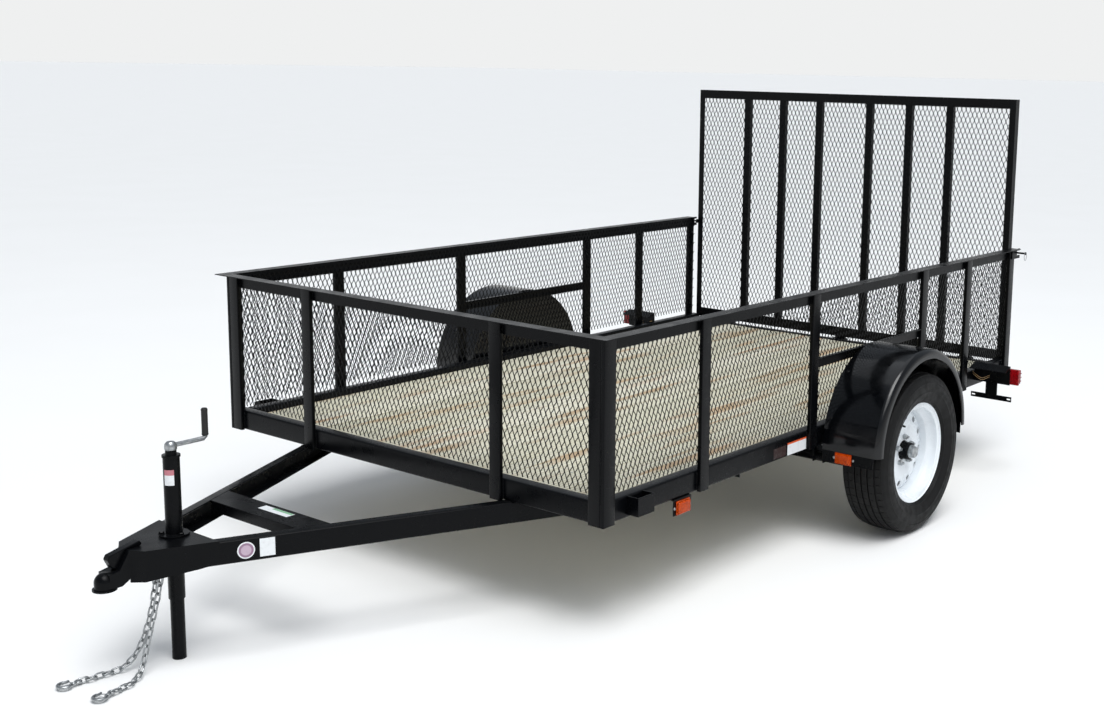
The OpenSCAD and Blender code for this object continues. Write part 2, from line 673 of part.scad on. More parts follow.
module tyre_left() color(rubber) tyre();
module rim_left() color(rim_white) rim();
module hub_left() color(paint) hub();
module lug_nuts_left() color(zinc) lug_nuts();
module tyre_right() color(rubber) mirror([0, 1, 0]) tyre();
module rim_right() color(rim_white) mirror([0, 1, 0]) rim();
module hub_right() color(paint) mirror([0, 1, 0]) hub();
module lug_nuts_right() color(zinc) mirror([0, 1, 0]) lug_nuts();

// ---- Pockets, lights and plate ----

module stake_pockets() color(paint) both_sides() difference() {
    translate([-205, half_w, frame_z + 12]) cube([86, 50, rail_h - 12]);
    translate([-201, half_w, frame_z + 11]) cube([78, 46, rail_h]);
}

// Folded brackets under the front of the side rails
module marker_brackets() color(paint) both_sides() {
    translate([front_marker_x - 50, half_w - 30, frame_z - steel_t]) cube([100, 34, steel_t]);
    translate([front_marker_x - 50, half_w + 4 - steel_t, frame_z - 58]) cube([100, steel_t, 58 - steel_t]);
}

module marker_lights() color(amber) both_sides() {
    translate([front_marker_x - marker_lens[0] / 2, half_w + 4, frame_z - 57]) cube([marker_lens[0], marker_lens[2], marker_lens[1]]);
    translate([axle_x + fender_r, 1042, fender_z - fender_foot]) cube([marker_lens[2], marker_lens[0], marker_lens[1] - 6]);
}

// Boxes behind the fenders, out from the side rails, that carry the tail lights
module tail_light_brackets() color(paint) both_sides() {
    back = tail_x - 30;
    translate([back, half_w, lens_z - 4]) cube([steel_t, tail_out - half_w - 40, lens_h + 8]);
    translate([back, tail_out - 40, 0]) rotate([90, 0, 0]) linear_extrude(tail_out - 40 - half_w)
        polygon([[0, lens_z + lens_h + 4], [0, lens_z + lens_h + 14], [60, lens_z + lens_h - 6], [60, lens_z + lens_h - 10]]);
}

module tail_lights() color(red) both_sides()
    translate([tail_x - 30 - 42, tail_out - lens_w - 60, lens_z]) cube([42, lens_w + 60, lens_h]);

// A hanging plate with a cross bar; the two end slots carry the licence plate
module licence_plate_bracket() color(paint) {
    y = 1057;
    x = tail_x - 30 + steel_t;
    top = lens_z - 4;
    translate([x, y - 29, top - 70]) cube([steel_t, 58, 78]);
    difference() {
        translate([x, y - 102, top - 78]) cube([steel_t, 204, 24]);
        for (side = [-1, 1]) translate([x - 1, y + side * plate_slot_pitch / 2, top - 66]) {
            for (dy = [-1, 1]) translate([0, dy * plate_slot_half, 0]) rotate([0, 90, 0])
                cylinder(r = plate_slot_r, h = steel_t + 2);
            translate([0, -plate_slot_half, -plate_slot_r]) cube([steel_t + 2, 2 * plate_slot_half, 2 * plate_slot_r]);
        }
    }
}

place() front_rail();
place() side_rails();
place() rear_rail();
place() crossmembers();
place() deck_boards();
place() tongue_beam_left();
place() tongue_beam_right();
place() tongue_crossmember();
place() coupler();
place() coupler_latch();
place() chain_bracket();
place() safety_chain_left();
place() safety_chain_right();
place() chain_hook_left();
place() chain_hook_right();
place() jack_tube();
place() jack_leg();
place() jack_crank();
place() jack_grip();
place() front_frame();
place() side_frame_left();
place() side_frame_right();
place() mesh_front();
place() mesh_left();
place() mesh_right();
place() gate_frame();
place() gate_mesh();
place() gate_hinge_brackets();
place() gate_hinge_knuckles();
place() gate_latch_brackets();
place() gate_latch_pins();
place() fender_left();
place() fender_right();
place() fender_braces();
place() axle();
place() leaf_springs();
place() spring_hangers();
place() axle_clamps();
place() tyre_left();
place() rim_left();
place() hub_left();
place() lug_nuts_left();
place() tyre_right();
place() rim_right();
place() hub_right();
place() lug_nuts_right();
place() stake_pockets();
place() marker_brackets();
place() marker_lights();
place() tail_light_brackets();
place() tail_lights();
place() licence_plate_bracket();
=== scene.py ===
"""Looks for a single-axle utility trailer with mesh sides, a ramp gate and an A-frame tongue.

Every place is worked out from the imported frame's own boxes, in metres: X forward, Y left, Z up.
"""
import json
import logging
import math
from dataclasses import dataclass, field
from enum import Enum
from functools import partial
from typing import Callable, Iterable, Sequence

import bmesh
import bpy
from mathutils import Matrix, Vector


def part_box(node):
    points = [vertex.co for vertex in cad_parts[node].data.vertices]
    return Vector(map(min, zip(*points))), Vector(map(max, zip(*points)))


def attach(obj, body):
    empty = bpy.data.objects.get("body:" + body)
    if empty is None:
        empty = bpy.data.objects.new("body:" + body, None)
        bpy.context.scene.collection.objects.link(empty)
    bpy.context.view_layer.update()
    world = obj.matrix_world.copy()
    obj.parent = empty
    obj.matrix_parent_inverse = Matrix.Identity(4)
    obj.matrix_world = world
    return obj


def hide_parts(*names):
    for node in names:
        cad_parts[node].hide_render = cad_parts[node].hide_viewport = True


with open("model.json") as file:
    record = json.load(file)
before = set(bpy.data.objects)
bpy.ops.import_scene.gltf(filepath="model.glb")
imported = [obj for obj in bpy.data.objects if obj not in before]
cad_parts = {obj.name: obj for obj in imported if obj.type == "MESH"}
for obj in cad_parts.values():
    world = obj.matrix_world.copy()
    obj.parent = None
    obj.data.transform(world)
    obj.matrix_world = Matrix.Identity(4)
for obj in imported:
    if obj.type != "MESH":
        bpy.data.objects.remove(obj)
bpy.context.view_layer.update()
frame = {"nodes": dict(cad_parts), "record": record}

LOG = logging.getLogger("trailer")
MM = 0.001
CHASSIS = "chassis"
GATE = "gate"
Point = Sequence[float]
Adder = Callable[..., bpy.types.Node]


class Side(Enum):
    """The two sides of the trailer; the value is the sign of Y."""

    LEFT = 1
    RIGHT = -1

    @property
    def word(self) -> str:
        """The side's name as the CAD nodes end in it."""
        return self.name.lower()


def linear(hex_colour: str) -> tuple[float, float, float, float]:
    """Turns an sRGB hex colour to linear light.

    Args:
        hex_colour: six hex digits, with or without a leading #.

    Returns:
        The linear red, green and blue, and an alpha of 1.
    """
    digits = hex_colour.lstrip("#")
    parts = [int(digits[i:i + 2], 16) / 255 for i in (0, 2, 4)]
    light = [p / 12.92 if p <= 0.04045 else ((p + 0.055) / 1.055) ** 2.4 for p in parts]
    return (*light, 1.0)


def add_node(tree: bpy.types.NodeTree, kind: str, inputs: dict | None = None, **settings) -> bpy.types.Node:
    """Adds a node with its settings and its inputs.

    Args:
        tree: the tree that takes the node.
        kind: the node's type name.
        inputs: input name or number to a value, or to the socket that feeds it.
        settings: attributes of the node itself.

    Returns:
        The new node.
    """
    node = tree.nodes.new(kind)
    for name, value in settings.items():
        setattr(node, name, value)
    for key, source in (inputs or {}).items():
        if isinstance(source, bpy.types.NodeSocket):
            tree.links.new(source, node.inputs[key])
        else:
            node.inputs[key].default_value = source
    return node


# ---------------------------------------------------------------- finishes


@dataclass(frozen=True)
class Finish:
    """A surface whose clean colour turns to a worn one in blotches of a real size, over a fine relief.

    Each material sets these values to its own, in millimetres, and adds its own pattern where it has one.
    The patterns run from 0 to 1: wear is where wear starts, where it is full and its largest share, and gloss
    is the same for the roughness, with the clean value and the worn one.
    """

    name: str
    colour: str
    worn: str
    blotch: float = 30.0
    layers: float = 3.0
    wear: tuple[float, float, float] = (0.4, 0.8, 0.3)
    gloss: tuple[float, float, float, float] = (0.0, 1.0, 0.5, 0.5)
    grit: float = 2.0
    depth: float = 0.0
    strength: float = 1.0
    specular: float = 0.5
    metallic: float = 0.0

    def blotches(self, add: Adder, place: bpy.types.NodeSocket) -> bpy.types.NodeSocket:
        """Where the surface is worn."""
        return add("ShaderNodeTexNoise", {"Vector": place, "Scale": 1000 / self.blotch,
                                          "Detail": self.layers}).outputs[0]

    def height(self, add: Adder, place: bpy.types.NodeSocket) -> bpy.types.NodeSocket:
        """How high the fine relief stands."""
        return add("ShaderNodeTexNoise", {"Vector": place, "Scale": 1000 / self.grit, "Detail": 2}).outputs[0]

    def surface(self, add: Adder, place: bpy.types.NodeSocket) -> dict[str, object]:
        """Works out the shader's inputs.

        Args:
            add: adds a node to the material's tree.
            place: the object coordinates.

        Returns:
            Input name to a value, or to the socket that feeds it.
        """
        noise = self.blotches(add, place)
        start, full, most = self.wear
        share = add("ShaderNodeMapRange", {0: noise, 1: start, 2: full, 4: most}).outputs[0]
        tint = add("ShaderNodeMix", {0: share, 6: linear(self.colour), 7: linear(self.worn)}, data_type="RGBA")
        inputs = {"Base Color": tint.outputs[2], "Roughness": self.gloss[2],
                  "Specular IOR Level": self.specular, "Metallic": self.metallic}
        if self.gloss[2] != self.gloss[3]:
            dull = add("ShaderNodeMapRange", {0: noise, **dict(enumerate(self.gloss, 1))})
            inputs["Roughness"] = dull.outputs[0]
        if self.depth:
            bump = add("ShaderNodeBump", {"Height": self.height(add, place), "Distance": self.depth * MM,
                                          "Strength": self.strength})
            inputs["Normal"] = bump.outputs[0]
        return inputs

    def build(self) -> bpy.types.Material:
        """Makes the material: a principled shader, fed on object coordinates."""
        material = bpy.data.materials.new(self.name)
        material.use_nodes = True
        add = partial(add_node, material.node_tree)
        material.node_tree.nodes.clear()
        place = add("ShaderNodeTexCoord").outputs["Object"]
        shader = add("ShaderNodeBsdfPrincipled", self.surface(add, place))
        add("ShaderNodeOutputMaterial", {"Surface": shader.outputs[0]})
        return material


@dataclass(frozen=True)
class BlackEnamel(Finish):
    """Gloss enamel sprayed on steel: a wet black with a faint orange peel, and road dust on what faces up."""

    colour: str = "#050608"
    worn: str = "#3a3a38"
    grit: float = 2.4
    depth: float = 0.06
    roughness: float = 0.27
    sheen: float = 0.11
    peel: float = 0.35

    def surface(self, add: Adder, place: bpy.types.NodeSocket) -> dict[str, object]:
        """The base's inputs, with the dust only on what faces up."""
        normal = add("ShaderNodeNewGeometry").outputs["Normal"]
        up = add("ShaderNodeSeparateXYZ", {0: normal}).outputs[2]
        facing = add("ShaderNodeMapRange", {0: up, 1: 0.6, 2: 1.0, 4: 0.10}).outputs[0]
        dust = add("ShaderNodeTexNoise", {"Vector": place, "Scale": 1000 / 90, "Detail": 5}).outputs[0]
        patches = add("ShaderNodeMapRange", {0: dust, 1: 0.35, 2: 0.75}).outputs[0]
        share = add("ShaderNodeMath", {0: facing, 1: patches}, operation="MULTIPLY").outputs[0]
        tint = add("ShaderNodeMix", {0: share, 6: linear(self.colour), 7: linear(self.worn)}, data_type="RGBA")
        haze = add("ShaderNodeTexNoise", {"Vector": place, "Scale": 1000 / 60, "Detail": 4}).outputs[0]
        dull = add("ShaderNodeMapRange", {0: haze, 1: 0.3, 2: 0.7, 3: self.roughness - 0.05,
                                          4: self.roughness + 0.09})
        bump = add("ShaderNodeBump", {"Height": self.height(add, place), "Distance": self.depth * MM,
                                      "Strength": self.peel})
        return {"Base Color": tint.outputs[2], "Roughness": dull.outputs[0], "Specular IOR Level": self.sheen,
                "Normal": bump.outputs[0]}


@dataclass(frozen=True)
class TreatedPine(Finish):
    """Rough-sawn pine, pressure treated: pale yellow-green boards, darker grain, knots, red-brown streaks."""

    colour: str = "#e1dfd1"
    worn: str = "#a3a283"
    grain: str = "#a9a183"
    heart: str = "#a97f55"
    knot: str = "#5c4a36"
    board: float = 0.19
    first: float = 0.0

    def surface(self, add: Adder, place: bpy.types.NodeSocket) -> dict[str, object]:
        """The timber's inputs: rings and fibres drawn out along each board, and a tone of its own for each."""
        across = add("ShaderNodeSeparateXYZ", {0: place}).outputs[1]
        for step, by in (("SUBTRACT", self.first), ("DIVIDE", self.board), ("FLOOR", 0.0)):
            across = add("ShaderNodeMath", {0: across, 1: by}, operation=step).outputs[0]
        chance = add("ShaderNodeTexWhiteNoise", {"W": across}, noise_dimensions="1D")
        shift = add("ShaderNodeVectorMath", {0: chance.outputs["Color"], 1: (7.0, 3.0, 5.0)},
                    operation="MULTIPLY")
        moved = add("ShaderNodeVectorMath", {0: place, 1: shift.outputs[0]}, operation="ADD").outputs[0]
        ringed, fibrous, streaky, knotty = (
            add("ShaderNodeMapping", {"Vector": moved, "Scale": (stretch, 1.0, 1.0)}).outputs[0]
            for stretch in (0.06, 0.03, 0.12, 0.55))
        rings = add("ShaderNodeTexWave", {"Vector": ringed, "Scale": 1000 / 55, "Distortion": 6.0,
                                          "Detail": 3.0, "Detail Scale": 1.6}, bands_direction="Y").outputs[1]
        fibre = add("ShaderNodeTexNoise", {"Vector": fibrous, "Scale": 1000 / 2.5, "Detail": 2}).outputs[0]
        streak = add("ShaderNodeTexNoise", {"Vector": streaky, "Scale": 1000 / 70, "Detail": 2}).outputs[0]
        knots = add("ShaderNodeTexVoronoi", {"Vector": knotty, "Scale": 1000 / 260}).outputs["Distance"]
        colour = linear(self.colour)
        for value, low, high, at_low, at_high, tint in (
                (rings, 0.3, 0.95, 0.0, 0.75, self.grain), (fibre, 0.35, 0.7, 0.0, 0.35, self.grain),
                (streak, 0.54, 0.68, 0.0, 0.75, self.heart), (knots, 0.035, 0.055, 0.85, 0.0, self.knot),
                (chance.outputs["Value"], 0.0, 1.0, 0.0, 0.3, self.worn)):
            share = add("ShaderNodeMapRange", {0: value, 1: low, 2: high, 3: at_low, 4: at_high}).outputs[0]
            colour = add("ShaderNodeMix", {0: share, 6: colour, 7: linear(tint)}, data_type="RGBA").outputs[2]
        bump = add("ShaderNodeBump", {"Height": fibre, "Distance": 0.5 * MM, "Strength": 0.5})
        return {"Base Color": colour, "Roughness": 0.78, "Normal": bump.outputs[0]}


@dataclass(frozen=True)
class ZincPlate(Finish):
    """Bright zinc on steel: a pale grey metal, cloudy where the plating is thin."""

    colour: str = "#b4b7b8"
    worn: str = "#85888a"
    blotch: float = 14
    layers: float = 4
    wear: tuple[float, float, float] = (0.35, 0.7, 1.0)
    gloss: tuple[float, float, float, float] = (0.3, 0.7, 0.28, 0.46)
    grit: float = 1.5
    depth: float = 0.05
    strength: float = 0.4
    metallic: float = 1.0


@dataclass(frozen=True)
class WheelEnamel(Finish):
    """Baked white enamel on a pressed steel wheel: smooth and bright, greyer where brake dust settles."""

    colour: str = "#e6ebef"
    worn: str = "#a9adb0"
    blotch: float = 45
    layers: float = 5
    wear: tuple[float, float, float] = (0.52, 0.8, 0.35)
    gloss: tuple[float, float, float, float] = (0.52, 0.8, 0.26, 0.45)
    grit: float = 3
    depth: float = 0.05
    strength: float = 0.3


@dataclass(frozen=True)
class TyreRubber(Finish):
    """Vulcanised rubber: dull black, a little grey with bloom and dust."""

    colour: str = "#09090a"
    worn: str = "#171715"
    blotch: float = 30
    layers: float = 6
    wear: tuple[float, float, float] = (0.4, 0.8, 0.55)
    gloss: tuple[float, float, float, float] = (0.4, 0.763636, 0.55, 0.8)
    grit: float = 1.2
    depth: float = 0.1
    strength: float = 0.5
    specular: float = 0.22


@dataclass(frozen=True)
class MouldedGrip(Finish):
    """Black vinyl moulded over a steel pin: matt, with fine rings."""

    colour: str = "#0a0a0b"
    worn: str = "#1b1b1c"
    blotch: float = 8
    wear: tuple[float, float, float] = (0.45, 0.75, 0.4)
    gloss: tuple[float, float, float, float] = (0.0, 1.0, 0.6, 0.6)
    grit: float = 30
    depth: float = 0.6
    strength: float = 0.6

    def height(self, add: Adder, place: bpy.types.NodeSocket) -> bpy.types.NodeSocket:
        """The moulded rings."""
        return add("ShaderNodeTexWave", {"Vector": place, "Scale": 1000 / self.grit},
                   bands_direction="Z").outputs[1]


@dataclass(frozen=True)
class LampLens(Finish):
    """Moulded acrylic lens: clear colour, deeper between the small prisms that catch the light."""

    wear: tuple[float, float, float] = (0.1, 0.6, 1.0)
    gloss: tuple[float, float, float, float] = (0.0, 1.0, 0.12, 0.12)
    grit: float = 5
    depth: float = 0.6
    strength: float = 0.5
    specular: float = 0.25

    def height(self, add: Adder, place: bpy.types.NodeSocket) -> bpy.types.NodeSocket:
        """The prisms, which set both the relief and the depth of colour."""
        return add("ShaderNodeTexVoronoi", {"Vector": place, "Scale": 1000 / self.grit},
                   distance="CHEBYCHEV").outputs["Distance"]

    blotches = height

    def surface(self, add: Adder, place: bpy.types.NodeSocket) -> dict[str, object]:
        """The base's inputs, with light that goes a little way in."""
        return {**super().surface(add, place), "Subsurface Weight": 0.15}


@dataclass(frozen=True)
class PrintedVinyl(Finish):
    """Vinyl label stock, blank: one flat ink, slightly scuffed."""

    worn: str = "#8d8d8a"
    blotch: float = 12
    layers: float = 5
    wear: tuple[float, float, float] = (0.5, 0.85, 0.3)
    gloss: tuple[float, float, float, float] = (0.0, 1.0, 0.38, 0.38)


@dataclass(frozen=True)
class StudioFloor(Finish):
    """Plain matt backdrop paper."""

    colour: str = "#f1f1f0"
    worn: str = "#ececea"
    blotch: float = 900
    layers: float = 2
    wear: tuple[float, float, float] = (0.3, 0.7, 0.25)
    gloss: tuple[float, float, float, float] = (0.0, 1.0, 0.9, 0.9)


# ---------------------------------------------------------------- making pieces


def in_scene(name: str, data: bpy.types.ID) -> bpy.types.Object:
    """Makes an object of some data and links it to the scene."""
    thing = bpy.data.objects.new(name, data)
    bpy.context.scene.collection.objects.link(thing)
    return thing


def placed(name: str, mesh: bpy.types.Mesh, finish: bpy.types.Material, body: str = CHASSIS,
           stands_for: Iterable[str] = ()) -> bpy.types.Object:
    """Makes a mesh a finished piece of the trailer.

    Args:
        name: the piece's name.
        mesh: its mesh, already in place.
        finish: its material.
        body: the CAD body that it moves with.
        stands_for: the CAD nodes that it replaces.

    Returns:
        The piece.
    """
    mesh.name = name
    if not mesh.materials:
        mesh.materials.append(finish)
    piece = in_scene(name, mesh)
    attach(piece, body)
    if stands_for:
        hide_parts(*stands_for)
    LOG.info("%s: %d faces", name, len(mesh.polygons))
    return piece


def to_mesh(shape: bmesh.types.BMesh, smooth_deg: float = 30.0) -> bpy.types.Mesh:
    """Turns a bmesh to a mesh, smooth where its faces meet at a small angle.

    Args:
        shape: the bmesh, which is freed.
        smooth_deg: the largest angle that is shaded smooth.

    Returns:
        The mesh.
    """
    mesh = bpy.data.meshes.new("shape")
    shape.to_mesh(mesh)
    shape.free()
    mesh.shade_smooth()
    mesh.set_sharp_from_angle(angle=math.radians(smooth_deg))
    return mesh


def joined(shapes: Iterable[bmesh.types.BMesh]) -> bmesh.types.BMesh:
    """Joins several bmeshes into one, and frees them."""
    whole = bmesh.new()
    for shape in shapes:
        spare = bpy.data.meshes.new("spare")
        shape.to_mesh(spare)
        shape.free()
        whole.from_mesh(spare)
        bpy.data.meshes.remove(spare)
    return whole


def block(low: Point, high: Point, round_off: float = 0.0, steps: int = 2) -> bmesh.types.BMesh:
    """A box between two corners, with its edges rounded."""
    shape = bmesh.new()
    size = [h - l for l, h in zip(low, high)]
    middle = [(h + l) / 2 for l, h in zip(low, high)]
    bmesh.ops.create_cube(shape, size=1.0, matrix=Matrix.Translation(middle) @ Matrix.Diagonal((*size, 1)))
    if round_off:
        bmesh.ops.bevel(shape, geom=shape.edges[:], offset=round_off, segments=steps, profile=0.5,
                        affect="EDGES")
    return shape


def on_ring(centre: Vector, radius: float, angle: float, along: float = 0.0) -> Vector:
    """A point on a ring about an axis along Y, at an angle from +X towards +Z, and moved along the axis."""
    return centre + Vector((radius * math.cos(angle), along, radius * math.sin(angle)))


def lathe(outline: Sequence[Point], centre: Vector, steps: int, closed: bool = True, start: float = 0.0,
          sweep: float = 2 * math.pi, sign: int = 1) -> bmesh.types.BMesh:
    """Turns an outline about an axis along Y.

    Args:
        outline: points of (radius, distance along the axis).
        centre: the point on the axis where that distance is 0.
        steps: the number of steps in the sweep.
        closed: whether the outline's last point joins its first.
        start: the angle of the first step, from +X towards +Z.
        sweep: the whole angle.
        sign: -1 turns the axis to the right-hand side.

    Returns:
        The turned shape, with its faces pointing out.
    """
    shape = bmesh.new()
    full = abs(sweep - 2 * math.pi) < 1e-6
    rings = []
    for i in range(steps if full else steps + 1):
        a = start + sweep * i / steps
        rings.append([shape.verts.new(on_ring(centre, r, a, sign * y)) for r, y in outline])
    count = len(outline)
    for i in range(steps):
        here, there = rings[i], rings[(i + 1) % len(rings)]
        for j in range(count if closed else count - 1):
            k = (j + 1) % count
            shape.faces.new((here[j], here[k], there[k], there[j]))
    if not full and closed:
        shape.faces.new(rings[0])
        shape.faces.new(rings[-1])
    bmesh.ops.remove_doubles(shape, verts=shape.verts[:], dist=1e-6)
    bmesh.ops.recalc_face_normals(shape, faces=shape.faces[:])
    return shape
def lathe_up(outline: Sequence[Point], foot: Vector, steps: int, **more) -> bmesh.types.BMesh:
    """Turns an outline in millimetres of (radius, height) about an upright axis through its foot."""
    shape = lathe([(r * MM, z * MM) for r, z in outline], Vector(), steps, closed=outline[0][0] > 0, **more)
    shape.transform(Matrix.Translation(foot) @ Matrix.Rotation(math.pi / 2, 4, "X"))
    bmesh.ops.recalc_face_normals(shape, faces=shape.faces[:])
    return shape

def swept(path: Sequence[Point], radius: float, sides: int = 12, caps: bool = True) -> bmesh.types.BMesh:
    """A round bar along a path of points."""
    points = [Vector(p) for p in path]
    shape = bmesh.new()
    rings = []
    along = (points[1] - points[0]).normalized()
    across = along.orthogonal().normalized()
    for i, point in enumerate(points):
        after = (points[min(i + 1, len(points) - 1)] - points[max(i - 1, 0)]).normalized()
        across = (across - after * across.dot(after)).normalized()
        other = after.cross(across)
        rings.append([shape.verts.new(point + radius * (math.cos(a) * across + math.sin(a) * other))
                      for a in (2 * math.pi * k / sides for k in range(sides))])
    for here, there in zip(rings, rings[1:]):
        for k in range(sides):
            shape.faces.new((here[k], here[(k + 1) % sides], there[(k + 1) % sides], there[k]))
    if caps:
        shape.faces.new(rings[0][::-1])
        shape.faces.new(rings[-1])
    return shape


def eased(points: Sequence[Point], steps: int) -> list[Vector]:
    """Points of the smooth curve through a route.

    Args:
        points: the route.
        steps: new points for each of its stretches.

    Returns:
        The curve's points, from the route's first to its last.
    """
    route = [Vector(p) for p in points]
    curve = []
    for i in range(len(route) - 1):
        a, b, c, d = route[max(i - 1, 0)], route[i], route[i + 1], route[min(i + 2, len(route) - 1)]
        for k in range(steps):
            t = k / steps
            curve.append(0.5 * (2 * b + (c - a) * t + (2 * a - 5 * b + 4 * c - d) * t * t
                                + (3 * b - a - 3 * c + d) * t ** 3))
    curve.append(route[-1])
    return curve


def eased_copy(node: str, edge: float) -> bpy.types.Mesh:
    """A copy of a CAD node's mesh with its doubles merged and its sharp edges eased.

    Args:
        node: the CAD node.
        edge: the width of the eased edge, in metres.

    Returns:
        The new mesh.
    """
    shape = bmesh.new()
    shape.from_mesh(frame["nodes"][node].data)
    bmesh.ops.remove_doubles(shape, verts=shape.verts[:], dist=2e-6)
    bmesh.ops.dissolve_limit(shape, angle_limit=math.radians(0.8), verts=shape.verts[:], edges=shape.edges[:])
    sharp = [e for e in shape.edges if len(e.link_faces) == 2 and e.calc_face_angle(0) > math.radians(40)]
    bmesh.ops.bevel(shape, geom=sharp, offset=edge, segments=2, profile=0.5, affect="EDGES", clamp_overlap=True)
    bmesh.ops.dissolve_degenerate(shape, dist=1e-6, edges=shape.edges[:])
    return to_mesh(shape, 20)


def baked(host: bpy.types.Object, modifier: bpy.types.Modifier,
          spare: Iterable[bpy.types.Object]) -> bpy.types.Mesh:
    """Keeps a modifier's result as a plain mesh, and clears away what made it.

    Args:
        host: the object with the modifier.
        modifier: the modifier.
        spare: the other objects that the modifier reads.

    Returns:
        The plain mesh.
    """
    bpy.context.view_layer.update()
    mesh = bpy.data.meshes.new_from_object(host.evaluated_get(bpy.context.evaluated_depsgraph_get()))
    host.modifiers.remove(modifier)
    for thing in (host, *spare):
        bpy.data.objects.remove(thing)
    return mesh


class Repeater:
    """Geometry Nodes that repeat a small unit, and turn the result to a plain mesh."""

    @staticmethod
    def tree(name: str, inputs: Sequence[tuple[str, str]]) -> tuple[bpy.types.NodeTree, bpy.types.Node]:
        """Starts a tree with geometry in and out, its sizes, the unit and the unit's finish.

        Args:
            name: the tree's name.
            inputs: (name, socket type) of each of its sizes.

        Returns:
            The tree and its input node.
        """
        tree = bpy.data.node_groups.new(name, "GeometryNodeTree")
        tree.interface.new_socket("Geometry", in_out="INPUT", socket_type="NodeSocketGeometry")
        for label, kind in [*inputs, ("Unit", "NodeSocketObject"), ("Finish", "NodeSocketMaterial")]:
            tree.interface.new_socket(label, in_out="INPUT", socket_type=kind)
        tree.interface.new_socket("Geometry", in_out="OUTPUT", socket_type="NodeSocketGeometry")
        return tree, add_node(tree, "NodeGroupInput")

    @staticmethod
    def end(tree: bpy.types.NodeTree, source: bpy.types.Node, points: bpy.types.NodeSocket,
            turned: bpy.types.NodeSocket | None = None) -> None:
        """Adds a tree's last nodes: the unit on each point, made real, in its material.

        Args:
            tree: the tree.
            source: its input node.
            points: the points.
            turned: each copy's rotation, if it has one.
        """
        unit = add_node(tree, "GeometryNodeObjectInfo", {"Object": source.outputs["Unit"]})
        copies = add_node(tree, "GeometryNodeInstanceOnPoints", {"Points": points,
                                                                 "Instance": unit.outputs["Geometry"]})
        if turned:
            tree.links.new(turned, copies.inputs["Rotation"])
        real = add_node(tree, "GeometryNodeRealizeInstances", {0: copies.outputs[0]})
        dressed = add_node(tree, "GeometryNodeSetMaterial", {"Geometry": real.outputs[0],
                                                             "Material": source.outputs["Finish"]})
        add_node(tree, "NodeGroupOutput", {0: dressed.outputs[0]})

    @classmethod
    def on_points(cls) -> bpy.types.NodeTree:
        """A tree that sets the unit on every point, its Z along the point's facing."""
        tree, source = cls.tree("unit_on_points", [])
        facing = add_node(tree, "GeometryNodeInputNamedAttribute", {"Name": "facing"}, data_type="FLOAT_VECTOR")
        turned = add_node(tree, "FunctionNodeAlignRotationToVector", {"Vector": facing.outputs[0]}, axis="Z")
        cls.end(tree, source, source.outputs["Geometry"], turned.outputs[0])
        return tree

    @classmethod
    def lattice(cls) -> bpy.types.NodeTree:
        """A tree that repeats the unit over a flat sheet, at two pitches."""
        tree, source = cls.tree("sheet_lattice", [("Width", "NodeSocketFloat"), ("Height", "NodeSocketFloat"),
                                                  ("Columns", "NodeSocketInt"), ("Rows", "NodeSocketInt")])
        grid = add_node(tree, "GeometryNodeMeshGrid", {
            "Size X": source.outputs["Width"], "Size Y": source.outputs["Height"],
            "Vertices X": source.outputs["Columns"], "Vertices Y": source.outputs["Rows"]})
        cls.end(tree, source, grid.outputs[0])
        return tree

    @classmethod
    def along_path(cls) -> bpy.types.NodeTree:
        """A tree that sets the unit along a path, each turned a share of a turn from the last."""
        tree, source = cls.tree("unit_along_path", [("Count", "NodeSocketInt"), ("Turn", "NodeSocketFloat")])
        path = add_node(tree, "GeometryNodeMeshToCurve", {0: source.outputs["Geometry"]})
        even = add_node(tree, "GeometryNodeResampleCurve", {"Curve": path.outputs[0],
                                                            "Count": source.outputs["Count"]}, mode="COUNT")
        tangent, index = add_node(tree, "GeometryNodeInputTangent"), add_node(tree, "GeometryNodeInputIndex")
        along = add_node(tree, "FunctionNodeAlignRotationToVector", {"Vector": tangent.outputs[0]}, axis="X")
        angle = add_node(tree, "ShaderNodeMath", {0: index.outputs[0], 1: source.outputs["Turn"]},
                         operation="MULTIPLY")
        twist = add_node(tree, "FunctionNodeAxisAngleToRotation", {"Axis": (1, 0, 0),
                                                                   "Angle": angle.outputs[0]})
        turned = add_node(tree, "FunctionNodeRotateRotation", {0: along.outputs[0], 1: twist.outputs[0]},
                          rotation_space="LOCAL")
        cls.end(tree, source, even.outputs[0], turned.outputs[0])
        return tree

    def __init__(self) -> None:
        """Builds the three trees once."""
        self.points_tree = self.on_points()
        self.lattice_tree = self.lattice()
        self.path_tree = self.along_path()

    @staticmethod
    def run(tree: bpy.types.NodeTree, base: bpy.types.Mesh, values: dict) -> bpy.types.Mesh:
        """Runs a tree on a base mesh and keeps the result as a plain mesh.

        Args:
            tree: the tree.
            base: the mesh that it starts from.
            values: input name to value; a mesh stands for an object that holds it.

        Returns:
            The plain mesh.
        """
        spare = []
        host = in_scene("host", base)
        modifier = host.modifiers.new("repeat", "NODES")
        modifier.node_group = tree
        for item in tree.interface.items_tree:
            if item.in_out != "INPUT" or item.name not in values:
                continue
            value = values[item.name]
            if isinstance(value, bpy.types.Mesh):
                value = in_scene("unit", value)
                spare.append(value)
            modifier[item.identifier] = value
        return baked(host, modifier, spare)

